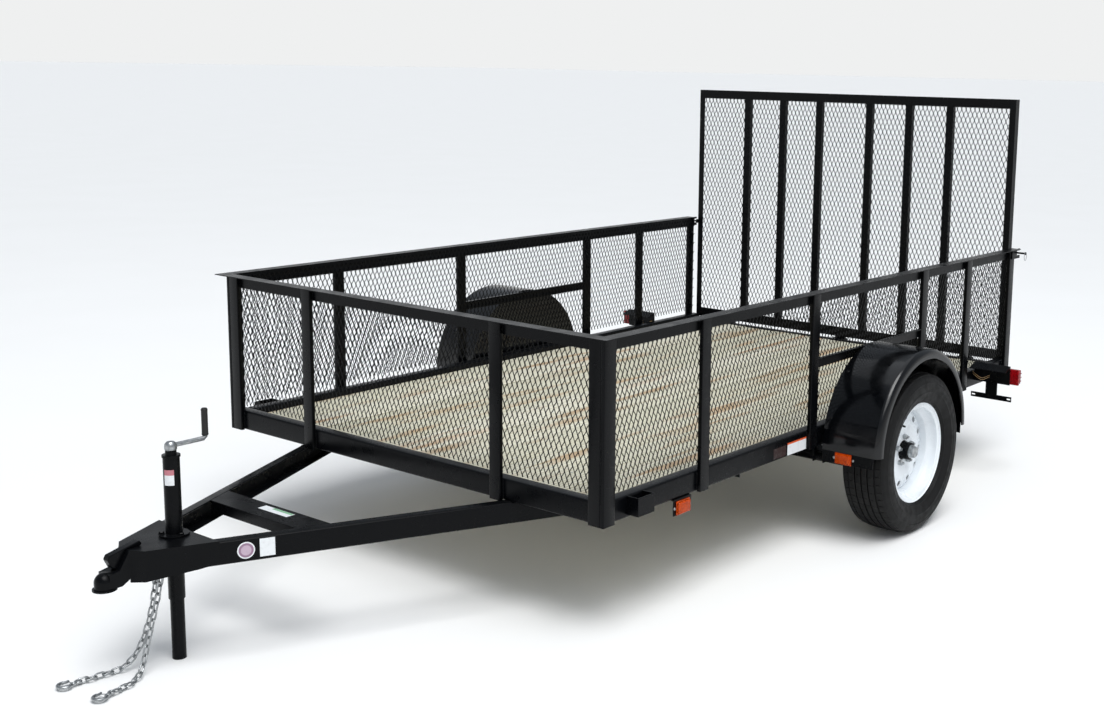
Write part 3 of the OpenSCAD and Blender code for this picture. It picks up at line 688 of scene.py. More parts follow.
    def plant(self, unit: bpy.types.Mesh, spots: Sequence[tuple[Point, Point]],
              finish: bpy.types.Material) -> bpy.types.Mesh:
        """Sets a unit on each spot.

        Args:
            unit: the unit's mesh, standing on the origin along Z.
            spots: (place, facing) of each copy.
            finish: the material.

        Returns:
            All the copies as one mesh.
        """
        base = bpy.data.meshes.new("spots")
        base.from_pydata([tuple(p) for p, _ in spots], [], [])
        facing = base.attributes.new("facing", "FLOAT_VECTOR", "POINT")
        facing.data.foreach_set("vector", [c for _, f in spots for c in f])
        return self.run(self.points_tree, base, {"Unit": unit, "Finish": finish})

    def follow(self, unit: bpy.types.Mesh, path: Sequence[Point], count: int, turn: float,
               finish: bpy.types.Material) -> bpy.types.Mesh:
        """Sets a unit at even steps along a path."""
        base = bpy.data.meshes.new("path")
        base.from_pydata([tuple(p) for p in path], [(i, i + 1) for i in range(len(path) - 1)], [])
        return self.run(self.path_tree, base, {"Count": count, "Turn": turn, "Unit": unit, "Finish": finish})


REPEAT = Repeater()
BODY_OF = {node: body for body, nodes in frame["record"]["behaviour"]["bodies"].items() for node in nodes}
SLOT_OF = {part["node"]: part["material_slot"] for part in frame["record"]["subparts"]}
BED_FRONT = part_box("front_rail")[1].x
BED_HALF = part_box("front_rail")[1].y
BEAM_SLOPE = math.radians(25)       # how far each tongue beam leans in from straight ahead
BEAM_OUT = 560                      # the beam's outer web from the centre line, at the front of the bed
UP = Vector((0, 0, 1))


def planted(name: str, unit: bmesh.types.BMesh, spots: Sequence[tuple[Point, Point]],
            finish: bpy.types.Material, body: str = CHASSIS,
            stands_for: Iterable[str] = (), smooth_deg: float = 30.0) -> bpy.types.Object:
    """Sets a unit on each spot and makes all the copies one piece.

    Args:
        name: the piece's name.
        unit: the unit, standing on the origin along Z.
        spots: (place, facing) of each copy.
        finish: its material.
        body: the CAD body that it moves with.
        stands_for: the CAD nodes that it replaces.
        smooth_deg: the largest angle that is shaded smooth.

    Returns:
        The piece.
    """
    mesh = REPEAT.plant(to_mesh(unit, smooth_deg), spots, finish)
    return placed(name, mesh, finish, body, stands_for)


def bed(x: float, y: float, z: float) -> Vector:
    """A point given in millimetres from the front of the bed, the centre line and the ground."""
    return Vector((BED_FRONT + x * MM, y * MM, z * MM))


def hexagon(across: float, height: float, washer: float = 0.0, stud: float = 0.0) -> bmesh.types.BMesh:
    """A hex nut or bolt head that stands on the origin, with a chamfered top, a washer and a stud's end.

    Args:
        across: the distance across its corners.
        height: its height.
        washer: the radius of the washer under it, or 0.
        stud: how far a stud stands out of it, or 0.

    Returns:
        The shape.
    """
    layers = [(6, across / 2, across / 2, height * 0.8, height * 0.4),
              (6, across / 2, across * 0.4, height * 0.2, height * 0.9)]
    if washer:
        layers.insert(0, (20, washer, washer * 0.96, 2 * MM, 1 * MM))
    if stud:
        layers.append((12, across * 0.27, across * 0.24, stud, height + stud / 2))
    parts = []
    for sides, foot, top, tall, middle in layers:
        part = bmesh.new()
        bmesh.ops.create_cone(part, cap_ends=True, segments=sides, radius1=foot, radius2=top, depth=tall,
                              matrix=Matrix.Translation((0, 0, middle)))
        parts.append(part)
    return joined(parts)


def domed_screw(radius: float, rise: float) -> bmesh.types.BMesh:
    """A pan-head screw that stands on the origin."""
    shape = bmesh.new()
    bmesh.ops.create_uvsphere(shape, u_segments=12, v_segments=6, radius=radius,
                              matrix=Matrix.Diagonal((1, 1, rise / radius, 1)))
    return shape


@dataclass
class SteelWork:
    """Every painted or plated CAD piece, with its edges eased as rolled and folded steel has them."""

    finishes: dict[str, bpy.types.Material]
    edge: dict[str, float] = field(default_factory=lambda: {
        "front_rail": 2.2, "side_rails": 2.2, "rear_rail": 2.2, "tongue_beam_left": 2.2,
        "tongue_beam_right": 2.2, "tongue_crossmember": 1.5, "coupler": 2.2, "coupler_latch": 3.0})
    common_edge: float = 0.9

    def build(self, skip: Iterable[str]) -> None:
        """Dresses every node that no other piece stands for.

        Args:
            skip: the nodes that have their own pieces.
        """
        for node in sorted(frame["nodes"]):
            if node in skip:
                continue
            finish = self.finishes[SLOT_OF[node]]
            mesh = eased_copy(node, self.edge.get(node, self.common_edge) * MM)
            mesh.materials.clear()
            placed(f"{node}_eased", mesh, finish, BODY_OF[node], [node])


@dataclass
class DeckBoards:
    """Sawn boards laid lengthwise, each a little uneven, with a row of deck screws over every crossmember."""

    timber: bpy.types.Material | None = None
    zinc: bpy.types.Material | None = None
    count: int = 10
    gap: float = 4 * MM
    ease: float = 2.5 * MM
    uneven: float = 0.8 * MM
    screw_rows: tuple[float, ...] = (-266, -866, -1466, -2066, -2666)

    @property
    def pitch(self) -> float:
        """The width of a board with its gap."""
        low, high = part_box("deck_boards")
        return (high.y - low.y + self.gap) / self.count

    def build(self) -> None:
        """Makes the boards and their screws."""
        low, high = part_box("deck_boards")
        boards, heads = [], []
        for i in range(self.count):
            y0 = low.y + i * self.pitch
            top = high.z - self.uneven + self.uneven * math.sin(i * 2.3)
            boards.append(block((low.x + 1.5 * MM * (i % 3), y0, low.z),
                                (high.x - 1 * MM * (i % 2), y0 + self.pitch - self.gap, top), self.ease))
        placed("deck_planks", to_mesh(joined(boards)), self.timber, CHASSIS, ["deck_boards"])
        for x in self.screw_rows:
            for y in (low.y + (i + share) * self.pitch for i in range(self.count) for share in (0.25, 0.75)):
                heads.append((Vector((bed(x, 0, 0).x, y, high.z - 0.2 * MM)), UP))
        planted("deck_screws", domed_screw(4.5 * MM, 1.0 * MM), heads, self.zinc)


@dataclass
class MeshSheet:
    """One sheet of raised expanded metal, slit and stretched: each strand leans from one bond to the next."""

    node: str
    along: Point
    finish: bpy.types.Material
    short_pitch: float = 23.4 * MM
    long_pitch: float = 50.8 * MM
    strand: float = 2.6 * MM
    gauge: float = 1.6 * MM
    lean: float = 3.2 * MM
    bond: float = 11 * MM

    def bar(self, start: Point, end: Point) -> bmesh.types.BMesh:
        """One strand or bond, open at its ends."""
        a, b = Vector(start), Vector(end)
        across = Vector((b.y - a.y, a.x - b.x, 0)).normalized() * self.strand / 2
        depth = Vector((0, 0, self.gauge / 2))
        shape = bmesh.new()
        rings = [[shape.verts.new(p + s * across + t * depth) for s, t in ((-1, -1), (1, -1), (1, 1), (-1, 1))]
                 for p in (a, b)]
        for k in range(4):
            shape.faces.new((rings[0][k], rings[1][k], rings[1][(k + 1) % 4], rings[0][(k + 1) % 4]))
        bmesh.ops.recalc_face_normals(shape, faces=shape.faces[:])
        if sum(f.normal.dot(f.calc_center_median() - (a + b) / 2) for f in shape.faces) < 0:
            bmesh.ops.reverse_faces(shape, faces=shape.faces[:])
        return shape

    def unit(self, a: float, b: float) -> bpy.types.Mesh:
        """Two bonds and their four strands, which tile the sheet.

        Args:
            a: the short pitch, fitted to the sheet.
            b: the long pitch, fitted to the sheet.

        Returns:
            The unit's mesh.
        """
        half, tip, front = self.strand * 0.45, self.bond / 2, self.lean / 2
        parts = []
        for cx, cy in ((-a / 4, -b / 4), (a / 4, b / 4)):
            for side in (-1, 1):
                near, far = cx + side * half, cx + side * (a / 2 - half)
                parts.append(self.bar((near, cy - tip, -front), (near, cy + tip, front)))
                parts.append(self.bar((near, cy + tip, front), (far, cy + b / 2 - tip, -front)))
        return to_mesh(joined(parts), 20)

    def build(self) -> None:
        """Makes the sheet in the place of its CAD plate."""
        low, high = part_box(self.node)
        across = Vector(self.along)
        size = high - low
        width = abs(size.dot(across))
        height = size.z
        columns = int((width - self.short_pitch / 2) / self.short_pitch)
        rows = int((height - self.long_pitch / 2) / self.long_pitch)
        a = width / (columns + 0.5)
        b = height / (rows + 0.5)
        mesh = REPEAT.run(REPEAT.lattice_tree, bpy.data.meshes.new("sheet"), {
            "Width": (columns - 1) * a, "Height": (rows - 1) * b, "Columns": columns, "Rows": rows,
            "Unit": self.unit(a, b), "Finish": self.finish})
        turn = Matrix((across, UP, across.cross(UP))).transposed().to_4x4()
        middle = (low + high) / 2 - across * a / 4 - UP * b / 4
        mesh.transform(Matrix.Translation(middle) @ turn @ Matrix.Translation((a / 4, b / 4, 0)))
        placed(f"{self.node}_expanded", mesh, self.finish, BODY_OF[self.node], [self.node])


@dataclass
class Welds:
    """Short fillet welds where posts, bars and angles meet, as a row of overlapping ripples."""

    paint: bpy.types.Material
    ripple: float = 3.0 * MM

    def bead(self) -> bmesh.types.BMesh:
        """One ripple of a weld."""
        shape = bmesh.new()
        bmesh.ops.create_icosphere(shape, subdivisions=1, radius=self.ripple,
                                   matrix=Matrix.Diagonal((1.0, 1.0, 0.7, 1)))
        return shape

    def run(self, name: str, lines: Sequence[tuple[Vector, Vector]], body: str) -> None:
        """Makes the welds along some lines.

        Args:
            name: the piece's name.
            lines: (start, end) of each weld.
            body: the body that they ride on.
        """
        spots = []
        for start, end in lines:
            count = max(2, int((end - start).length / (self.ripple * 1.1)))
            for i in range(count):
                spots.append((start.lerp(end, i / (count - 1)), (end - start).normalized()))
        planted(name, self.bead(), spots, self.paint, body, smooth_deg=60)


@dataclass
class Wheel:
    """A white pressed-steel wheel with its tyre, hub, nuts and grease cap."""

    side: Side
    rubber: bpy.types.Material
    enamel: bpy.types.Material
    paint: bpy.types.Material
    zinc: bpy.types.Material
    blocks: int = 60
    bead_r: float = 190 * MM
    lip_r: float = 208 * MM
    flange: float = 65 * MM
    vents: int = 12
    vent_r: float = 13 * MM
    vent_ring: float = 140 * MM
    nuts: int = 5
    nut_ring: float = 57.15 * MM
    valve_deg: float = 52
    valve_ring: float = 171 * MM

    def __post_init__(self) -> None:
        """Takes the wheel's place and size from its tyre."""
        low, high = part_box(f"tyre_{self.side.word}")
        self.centre = (low + high) / 2
        self.radius = (high.z - low.z) / 2
        self.half = (high.y - low.y) / 2
        self.body = f"wheel_{self.side.word}"

    def turned(self, outline: Sequence[Point], steps: int = 96, **more) -> bmesh.types.BMesh:
        """An outline in millimetres, turned about the wheel's axis."""
        return lathe([(r * MM, y * MM) for r, y in outline], self.centre, steps, sign=self.side.value, **more)

    def carcass(self) -> bmesh.types.BMesh:
        """The tyre without its tread blocks, with raised rings on its sidewalls."""
        r, w, b = self.radius / MM, self.half / MM, self.bead_r / MM
        s = r - b
        outside = [(b, 51), (b, 65), (b + 10, 66), (b + 16, 72), (b + 24, w * 0.80), (b + 27, w * 0.84),
                   (b + 30, w * 0.84), (b + 42, w * 0.91), (b + 60, w * 0.965), (b + 63, w * 0.985),
                   (b + 68, w * 0.985), (b + 71, w * 0.98), (b + s * 0.55, w), (b + s * 0.66, w * 0.985),
                   (b + s * 0.70, w * 0.975), (b + s * 0.71, w * 0.985), (b + s * 0.735, w * 0.98),
                   (b + s * 0.745, w * 0.965), (b + s * 0.84, w * 0.92), (r - 14, w * 0.86),
                   (r - 8.5, w * 0.78), (r - 7.5, w * 0.6)]
        inside = [(r - 13, w * 0.5), (b + s * 0.85, w * 0.84), (b + s * 0.5, w - 8), (b + s * 0.25, w * 0.82),
                  (b + 8, 56)]
        ring = outside + [(p, -y) for p, y in [*reversed(outside), *reversed(inside)]] + inside
        return self.turned(ring, 120)

    def tread_unit(self) -> bmesh.types.BMesh:
        """The blocks of one pitch of the tread: two centre ribs, two inner ribs and two shoulders."""
        w = self.half
        pitch = 2 * math.pi * self.radius / self.blocks
        parts = []
        for low, high, length, lean, drop in ((0.03, 0.25, 0.985, 0.0, 0.0), (0.30, 0.54, 0.97, 0.06, 0.0),
                                              (0.60, 0.82, 0.93, -0.04, 2.2 * MM)):
            for sign in (-1, 1):
                y0, y1 = sorted((sign * low * w, sign * high * w))
                shape = block((-pitch * length / 2, y0, -9.5 * MM),
                              (pitch * length / 2, y1, -0.9 * MM - drop), 0.9 * MM, 1)
                for vert in shape.verts:
                    vert.co.x += lean * vert.co.y
                    vert.co.z -= 18 * MM * max(0.0, abs(vert.co.y) / w - 0.3) ** 2
                parts.append(shape)
        return joined(parts)

    def tyre(self) -> None:
        """Makes the tyre's carcass and its tread."""
        spots = []
        for i in range(self.blocks):
            a = 2 * math.pi * (i + 0.5) / self.blocks
            out = on_ring(Vector(), 1, a)
            spots.append((self.centre + self.radius * out, out))
        name = f"tyre_{self.side.word}"
        placed(f"{name}_carcass", to_mesh(self.carcass(), 28), self.rubber, self.body, [name])
        planted(f"{name}_tread", self.tread_unit(), spots, self.rubber, self.body, smooth_deg=25)

    def barrel(self) -> bmesh.types.BMesh:
        """The rim's barrel, with its drop centre and its rolled lips."""
        h, b, lip = self.flange / MM, self.bead_r / MM, self.lip_r / MM
        outer = [(lip - 3, h + 9), (lip, h + 7), (lip, h + 3), (lip - 3, h + 0.5), (b + 6, h), (b, h - 3),
                 (b - 1, h - 20), (b - 6, h - 28), (173, 24), (172, 16), (172, -24), (173, -30),
                 (b - 6, -h + 26), (b - 1, -h + 18), (b, -h + 3), (b + 6, -h), (lip - 3, -h - 0.5),
                 (lip, -h - 3), (lip, -h - 7), (lip - 3, -h - 9)]
        inner = [(lip - 5, -h - 7), (lip - 6, -h - 4), (b + 2, -h - 3.5), (b - 4, -h), (b - 4.5, -h + 20),
                 (b - 10, -h + 28), (169, -30), (168, -24), (168, 16), (169, 24), (b - 10, h - 30),
                 (b - 4.5, h - 20), (b - 4, h), (b + 2, h + 3.5), (lip - 6, h + 4), (lip - 5, h + 7)]
        return self.turned(outer + inner, 120)

    def rim(self) -> None:
        """Makes the dished disc with its vents, in one piece with the barrel."""
        face = eased([(r * MM, y * MM, 0) for r, y in (
            (169, -7), (160, -1), (146, 3.5), (130, 7), (116, 9.3), (104, 10), (94, 9.6), (84, 8.6), (74, 8),
            (58, 8), (41, 8))], 3)
        back = [p - Vector((0, 5.5 * MM, 0)) for p in reversed(face)]
        disc = lathe([(p.x, p.y) for p in face + back], self.centre, 120, sign=self.side.value)
        cutters = []
        for i in range(self.vents):
            a = 2 * math.pi * (i + 0.25) / self.vents
            cut = bmesh.new()
            spot = on_ring(self.centre, self.vent_ring, a, self.side.value * 2 * MM)
            bmesh.ops.create_cone(cut, cap_ends=True, segments=24, radius1=self.vent_r, radius2=self.vent_r,
                                  depth=60 * MM,
                                  matrix=Matrix.Translation(spot) @ Matrix.Rotation(math.pi / 2, 4, "X"))
            cutters.append(cut)
        shape = bmesh.new()
        shape.from_mesh(self.pierced(to_mesh(disc), to_mesh(joined(cutters))))
        name = f"rim_{self.side.word}"
        mesh = to_mesh(joined([shape, self.barrel()]), 32)
        placed(f"{name}_pressed", mesh, self.enamel, self.body, [name])

    @staticmethod
    def pierced(plate: bpy.types.Mesh, cutters: bpy.types.Mesh) -> bpy.types.Mesh:
        """Cuts holes through a plate.

        Args:
            plate: the plate's mesh.
            cutters: the plugs that are taken out of it.

        Returns:
            The plate with its holes.
        """
        host, tool = in_scene("plate", plate), in_scene("plugs", cutters)
        cut = host.modifiers.new("holes", "BOOLEAN")
        cut.operation, cut.solver, cut.object = "DIFFERENCE", "EXACT", tool
        return baked(host, cut, [tool])

    def hub(self) -> None:
        """Makes the painted hub, the plated grease cap and the nuts."""
        word = self.side.word
        body = self.turned([(17.7, -93), (36, -93), (38, -91), (38, -12), (72, -8), (72, 1.8), (36, 2.2),
                            (36, 37), (34.5, 41), (30, 43.5), (17.7, 43.5)], 64)
        placed(f"hub_{word}_cast", to_mesh(body), self.paint, self.body, [f"hub_{word}"])
        cap = self.turned([(0, 67.6), (15, 67.2), (20.5, 65.5), (23.6, 62), (24.6, 52), (27.5, 50.5), (28, 48),
                           (28, 43.6), (0, 43.6)], 48, closed=False)
        placed(f"grease_cap_{word}", to_mesh(cap), self.zinc, self.body)
        out = Vector((0, self.side.value, 0))
        angles = [math.radians(90 + 360 / self.nuts * i) for i in range(self.nuts)]
        spots = [(on_ring(self.centre, self.nut_ring, a) + out * 8 * MM, out) for a in angles]
        planted(f"lug_nuts_{word}_hex", hexagon(22 * MM, 17 * MM, 0, 7 * MM), spots, self.zinc, self.body,
                stands_for=[f"lug_nuts_{word}"], smooth_deg=20)

    def valve(self) -> None:
        """Makes the tyre's valve: a thick rubber root and a thinner stem."""
        a, sign = math.radians(self.valve_deg), self.side.value
        root = on_ring(self.centre, self.valve_ring, a, sign * 30 * MM)
        tip = on_ring(root, -10 * MM, a, sign * 36 * MM)
        stem = [swept([root, root.lerp(tip, 0.5)], 6 * MM), swept([root.lerp(tip, 0.4), tip], 4 * MM)]
        placed(f"valve_{self.side.word}", to_mesh(joined(stem)), self.rubber, self.body)

    def build(self) -> None:
        """Makes the whole wheel."""
        self.tyre()
        self.rim()
        self.hub()
        self.valve()


@dataclass
class Fender:
    """A rolled round fender: sheet with a rounded shoulder, a wired lip, an inner panel and end straps."""

    side: Side
    paint: bpy.types.Material
    sheet: float = 2.5 * MM
    bend: float = 26 * MM
    lip: float = 36 * MM
    wire: float = 5 * MM
    steps: int = 72
    strap_at: float = 0.20
    strap_half: float = 0.018
    bolts_at: tuple[float, ...] = (0.35, 0.9, math.pi - 0.9, math.pi - 0.35)

    def build(self) -> None:
        """Makes the fender, its wired lip and its bolts."""
        node = f"fender_{self.side.word}"
        low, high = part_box(node)
        sign = self.side.value
        inner = low.y if sign > 0 else high.y
        width = high.y - low.y
        radius = (high.x - low.x) / 2
        centre = Vector(((low.x + high.x) / 2, inner, low.z))
        outer_skin, inner_skin = [], []
        for i in range(9):
            a = math.pi / 2 * (1 - i / 8)
            for skin, bend in ((outer_skin, self.bend), (inner_skin, self.bend - self.sheet)):
                skin.append((radius - self.bend + bend * math.sin(a), width - self.bend + bend * math.cos(a)))
        hem = radius - self.lip
        cover = [(radius, 0), *outer_skin, (hem, width), (hem, width - self.sheet), *reversed(inner_skin),
                 (radius - self.sheet, 0)]
        half_turn = partial(lathe, centre=centre, steps=self.steps, sweep=math.pi, sign=sign)
        under = radius - self.sheet
        panel = [(4 * MM, 0), (under, 0), (under, self.sheet), (4 * MM, self.sheet)]
        bead = [on_ring(centre, hem, math.pi * i / self.steps, sign * (width - self.wire * 0.8))
                for i in range(self.steps + 1)]
        proud, sunk, flat = radius + 0.6 * MM, radius - 1 * MM, width - self.bend
        straps = [lathe([(proud, 4 * MM), (proud, flat), (sunk, flat), (sunk, 4 * MM)], centre, 2,
                        start=a - self.strap_half, sweep=2 * self.strap_half, sign=sign)
                  for a in (self.strap_at, math.pi - self.strap_at)]
        shape = joined([half_turn(cover), half_turn(panel), swept(bead, self.wire / 2 + 1 * MM, 10), *straps])
        placed(f"{node}_rolled", to_mesh(shape), self.paint, stands_for=[node])
        spots = []
        for a in self.bolts_at:
            out = on_ring(Vector(), 1, a)
            spots.append((centre + out * radius + Vector((0, sign * 22 * MM, 0)), out))
        planted(f"{node}_bolts", domed_screw(6 * MM, 2.2 * MM), spots, self.paint)


@dataclass
class SafetyChain:
    """A proof-coil chain that hangs from the tongue and lies on the ground, with a slip hook at its end."""

    side: Side
    route_mm: Sequence[Point]
    zinc: bpy.types.Material
    width: float = 22 * MM
    wire: float = 5.6 * MM
    pitch: float = 25 * MM

    def link(self) -> bpy.types.Mesh:
        """One oval link round the origin, lying in the XY plane."""
        bend = (self.width - self.wire) / 2
        straight = self.pitch / 2 - bend + self.wire / 2 + 1 * MM
        path = []
        for sign in (1, -1):
            for k in range(7):
                a = -math.pi / 2 + math.pi * k / 6
                path.append((sign * (straight + bend * math.cos(a)), sign * bend * math.sin(a), 0))
        path.append(path[0])
        return to_mesh(swept(path, self.wire / 2, 8, caps=False), 50)

    def build(self) -> None:
        word = self.side.word
        route = [bed(*p) for p in self.route_mm]
        fine = eased(route, 6)
        length = sum((b - a).length for a, b in zip(fine, fine[1:]))
        middles = fine.copy()
        middles[0] = fine[0] + (fine[1] - fine[0]).normalized() * self.pitch * 0.45
        middles[-1] = fine[-1] + (fine[-2] - fine[-1]).normalized() * self.pitch * 0.2
        count = round((length - self.pitch * 0.65) / self.pitch) + 1
        mesh = REPEAT.follow(self.link(), middles, count, math.pi / 2, self.zinc)
        chain = placed(f"safety_chain_{word}_links", mesh, self.zinc,
                       stands_for=[f"safety_chain_{word}"])
        hook = placed(f"chain_hook_{word}_forged", to_mesh(self.hook(route), 40), self.zinc,
                      stands_for=[f"chain_hook_{word}"])

    def hook(self, route: Sequence[Vector]) -> bmesh.types.BMesh:
        """A forged slip hook that lies flat, past the last link."""
        heading = (route[-1] - route[-2]).normalized()
        heading.z = 0
        side = Vector((-heading.y, heading.x, 0))

        def flat(u: float, v: float) -> Vector:
            """A point of the hook's outline, u along it and v across, in millimetres."""
            return route[-1] + heading * u * MM + side * v * MM

        bow_r = 19
        eye = [flat(10 + 8 * math.cos(a), 8 * math.sin(a)) for a in (2 * math.pi * k / 16 for k in range(17))]
        bow = [flat(50 + bow_r * math.cos(math.radians(a)), 2 + bow_r * math.sin(math.radians(a)))
               for a in range(170, -110, -14)]
        stem = [flat(17, 3), flat(24, 8)] + bow
        tip = [bow[-1], flat(38, -17), flat(31, -20)]
        latch = [flat(22, 2), flat(30, -8), flat(38, -15)]
        return joined([swept(eye, 4.2 * MM, 10, caps=False), swept(eased(stem, 2), 5.6 * MM, 12),
                       swept(tip, 4.2 * MM, 10), swept(latch, 1.4 * MM, 8)])


@dataclass
class Jack:
    """The jack's plated crank, its moulded grip and the bolts of its flange."""

    paint: bpy.types.Material
    zinc: bpy.types.Material
    grip: bpy.types.Material
    flange_x: float = 915
    flange_z: float = 410
    bolt_ring: float = 37

    def crank(self) -> None:
        """Makes the bent rod with its boss, and the grip on its pin."""
        low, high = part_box("jack_grip")
        foot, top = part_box("jack_tube")
        axis = Vector(((foot.x + top.x) / 2, 0, top.z))
        pin = Vector(((low.x + high.x) / 2, 0, low.z))
        root, end = axis + UP * 13 * MM, pin - UP * 9 * MM
        rod = [root, root.lerp(end, 0.5), root.lerp(end, 0.94), pin - UP * 3 * MM, pin + UP * 6 * MM]
        boss = [(0, 0), (17, 0), (18.5, 2), (19, 12), (17.5, 20), (12, 26), (0, 28)]
        crank = joined([swept(rod, 7.4 * MM, 14), lathe_up(boss, axis, 32)])
        placed("jack_crank_bent", to_mesh(crank, 35), self.zinc, stands_for=["jack_crank"])
        h = (high.z - low.z) / MM
        outline = [(4.2, 0), (9, 0), (10.4, 2), (10.4, 7), (9.6, 9)]
        outline += [(9.6 + 0.7 * (k % 2), 9 + (h - 20) * k / 22) for k in range(1, 23)]
        outline += [(10.5, h - 8), (10.2, h - 4), (8, h - 0.6), (4.2, h)]
        placed("jack_grip_moulded", to_mesh(lathe_up(outline, pin, 32), 35), self.grip,
               stands_for=["jack_grip"])

    def build(self) -> None:
        """Makes the crank, the grip and the flange's bolts."""
        self.crank()
        spots = []
        for a in (math.radians(90 + 120 * k) for k in range(3)):
            x, y = self.flange_x + self.bolt_ring * math.cos(a), self.bolt_ring * math.sin(a)
            spots.append((bed(x, y, self.flange_z), UP))
        planted("jack_flange_bolts", hexagon(17 * MM, 8 * MM, 11 * MM), spots, self.paint,
                smooth_deg=20)

@dataclass
class Lamps:
    """Amber markers and red tail lights: moulded lenses with ribs and rims, and their screws."""

    amber: bpy.types.Material
    red: bpy.types.Material
    zinc: bpy.types.Material
    lead: bpy.types.Material

    @staticmethod
    def lens(low: Vector, high: Vector, axis: int, sign: int, ribs: int) -> list[bmesh.types.BMesh]:
        """A lens on its base, with ribs across its face.

        Args:
            low: the CAD block's lowest corner.
            high: its highest corner.
            axis: 0 if it faces along X, 1 along Y.
            sign: the way it faces.
            ribs: how many ribs cross it.

        Returns:
            The base, the dome and the ribs.
        """
        base_low, base_high, dome_low, dome_high = low.copy(), high.copy(), low.copy(), high.copy()
        depth, other = high[axis] - low[axis], 1 - axis
        root, face = (low[axis], high[axis]) if sign > 0 else (high[axis], low[axis])
        for corner, way in ((dome_low, 1), (dome_high, -1)):
            corner[other] += way * 3 * MM
            corner.z += way * 3 * MM
        for a, b, start, end in ((base_low, base_high, 0.0, 0.35), (dome_low, dome_high, 0.3, 0.93)):
            a[axis], b[axis] = sorted((root + sign * depth * start, root + sign * depth * end))
        parts = [block(base_low, base_high, 1.5 * MM), block(dome_low, dome_high, 5 * MM, 3)]
        for k in range(ribs):
            a, b = dome_low + UP * 4 * MM, dome_high - UP * 4 * MM
            middle = dome_low[other] + (dome_high[other] - dome_low[other]) * (k + 1) / (ribs + 1)
            a[other], b[other] = middle - 1.2 * MM, middle + 1.2 * MM
            a[axis], b[axis] = sorted((root + sign * depth * 0.9, face))
            parts.append(block(a, b, 0.5 * MM, 1))
        return parts

    @staticmethod
    def split(node: str) -> list[tuple[Vector, Vector]]:
        """The boxes of a CAD node's separate solids."""
        shape = bmesh.new()
        shape.from_mesh(frame["nodes"][node].data)
        bmesh.ops.remove_doubles(shape, verts=shape.verts[:], dist=1e-6)
        left = set(shape.verts)
        boxes = []
        while left:
            seed = left.pop()
            group, stack = [seed], [seed]
            while stack:
                for edge in stack.pop().link_edges:
                    for vert in edge.verts:
                        if vert in left:
                            left.discard(vert)
                            group.append(vert)
                            stack.append(vert)
            boxes.append((Vector([min(v.co[i] for v in group) for i in range(3)]),
                          Vector([max(v.co[i] for v in group) for i in range(3)])))
        shape.free()
        return sorted(boxes, key=lambda pair: tuple(round(c, 4) for c in pair[0]))

    def markers(self) -> None:
        """Makes the amber lenses, each with a screw at either end."""
        amber, screws = [], []
        for low, high in self.split("marker_lights"):
            outboard = high.x - low.x > 40 * MM
            axis, way = (1, 1 if low.y > 0 else -1) if outboard else (0, 1)
            amber += self.lens(low, high, axis, way, 5)
            for corner, end in ((low, -1), (high, 1)):
                spot, facing = (low + high) / 2, Vector()
                spot[1 - axis] = corner[1 - axis] + end * 6 * MM
                spot[axis] = low[axis] if way > 0 else high[axis]
                facing[axis] = way
                screws.append((spot, facing))
        placed("marker_lenses", to_mesh(joined(amber), 35), self.amber,
               stands_for=["marker_lights"])
        planted("marker_screws", domed_screw(5.5 * MM, 4 * MM), screws, self.zinc)

    def tails(self) -> None:
        """Makes the red lenses, with three ribs on their outer ends."""
        red = []
        for low, high in self.split("tail_lights"):
            red += self.lens(low, high, 0, -1, 7)
            sign, face = (1, high.y) if low.y > 0 else (-1, low.y)
            y0, y1 = sorted((face - sign * 1 * MM, face + sign * 1.5 * MM))
            for k in range(3):
                z = low.z + (high.z - low.z) * (k + 1) / 4
                red.append(block((low.x + 8 * MM, y0, z - 2 * MM), (high.x - 6 * MM, y1, z + 2 * MM),
                                 0.6 * MM, 1))
        placed("tail_lenses", to_mesh(joined(red), 35), self.red, stands_for=["tail_lights"])

    def leads(self) -> None:
        """Makes the two leads that run along each tail light's bracket."""
        leads = []
        for low, high in self.split("tail_light_brackets"):
            sign, y0 = (1, low.y) if low.y > 0 else (-1, high.y)
            for k in range(2):
                start = Vector((low.x + 24 * MM, y0 + sign * 1 * MM, low.z + (38 + 9 * k) * MM))
                end_z = low.z + (26 + 8 * k) * MM
                route = [start, start + Vector((10 * MM, sign * 22 * MM, -10 * MM)),
                         start + Vector((6 * MM, sign * 52 * MM, -24 * MM)),
                         Vector((low.x + 4 * MM, y0 + sign * 78 * MM, end_z)),
                         Vector((low.x + 1 * MM, y0 + sign * 84 * MM, end_z))]
                leads.append(swept(eased(route, 6), 1.1 * MM, 8))
        placed("tail_light_leads", to_mesh(joined(leads), 50), self.lead)

    def build(self) -> None:
        """Makes the lenses, their screws and the leads to the tail lights."""
        self.markers()
        self.tails()
        self.leads()


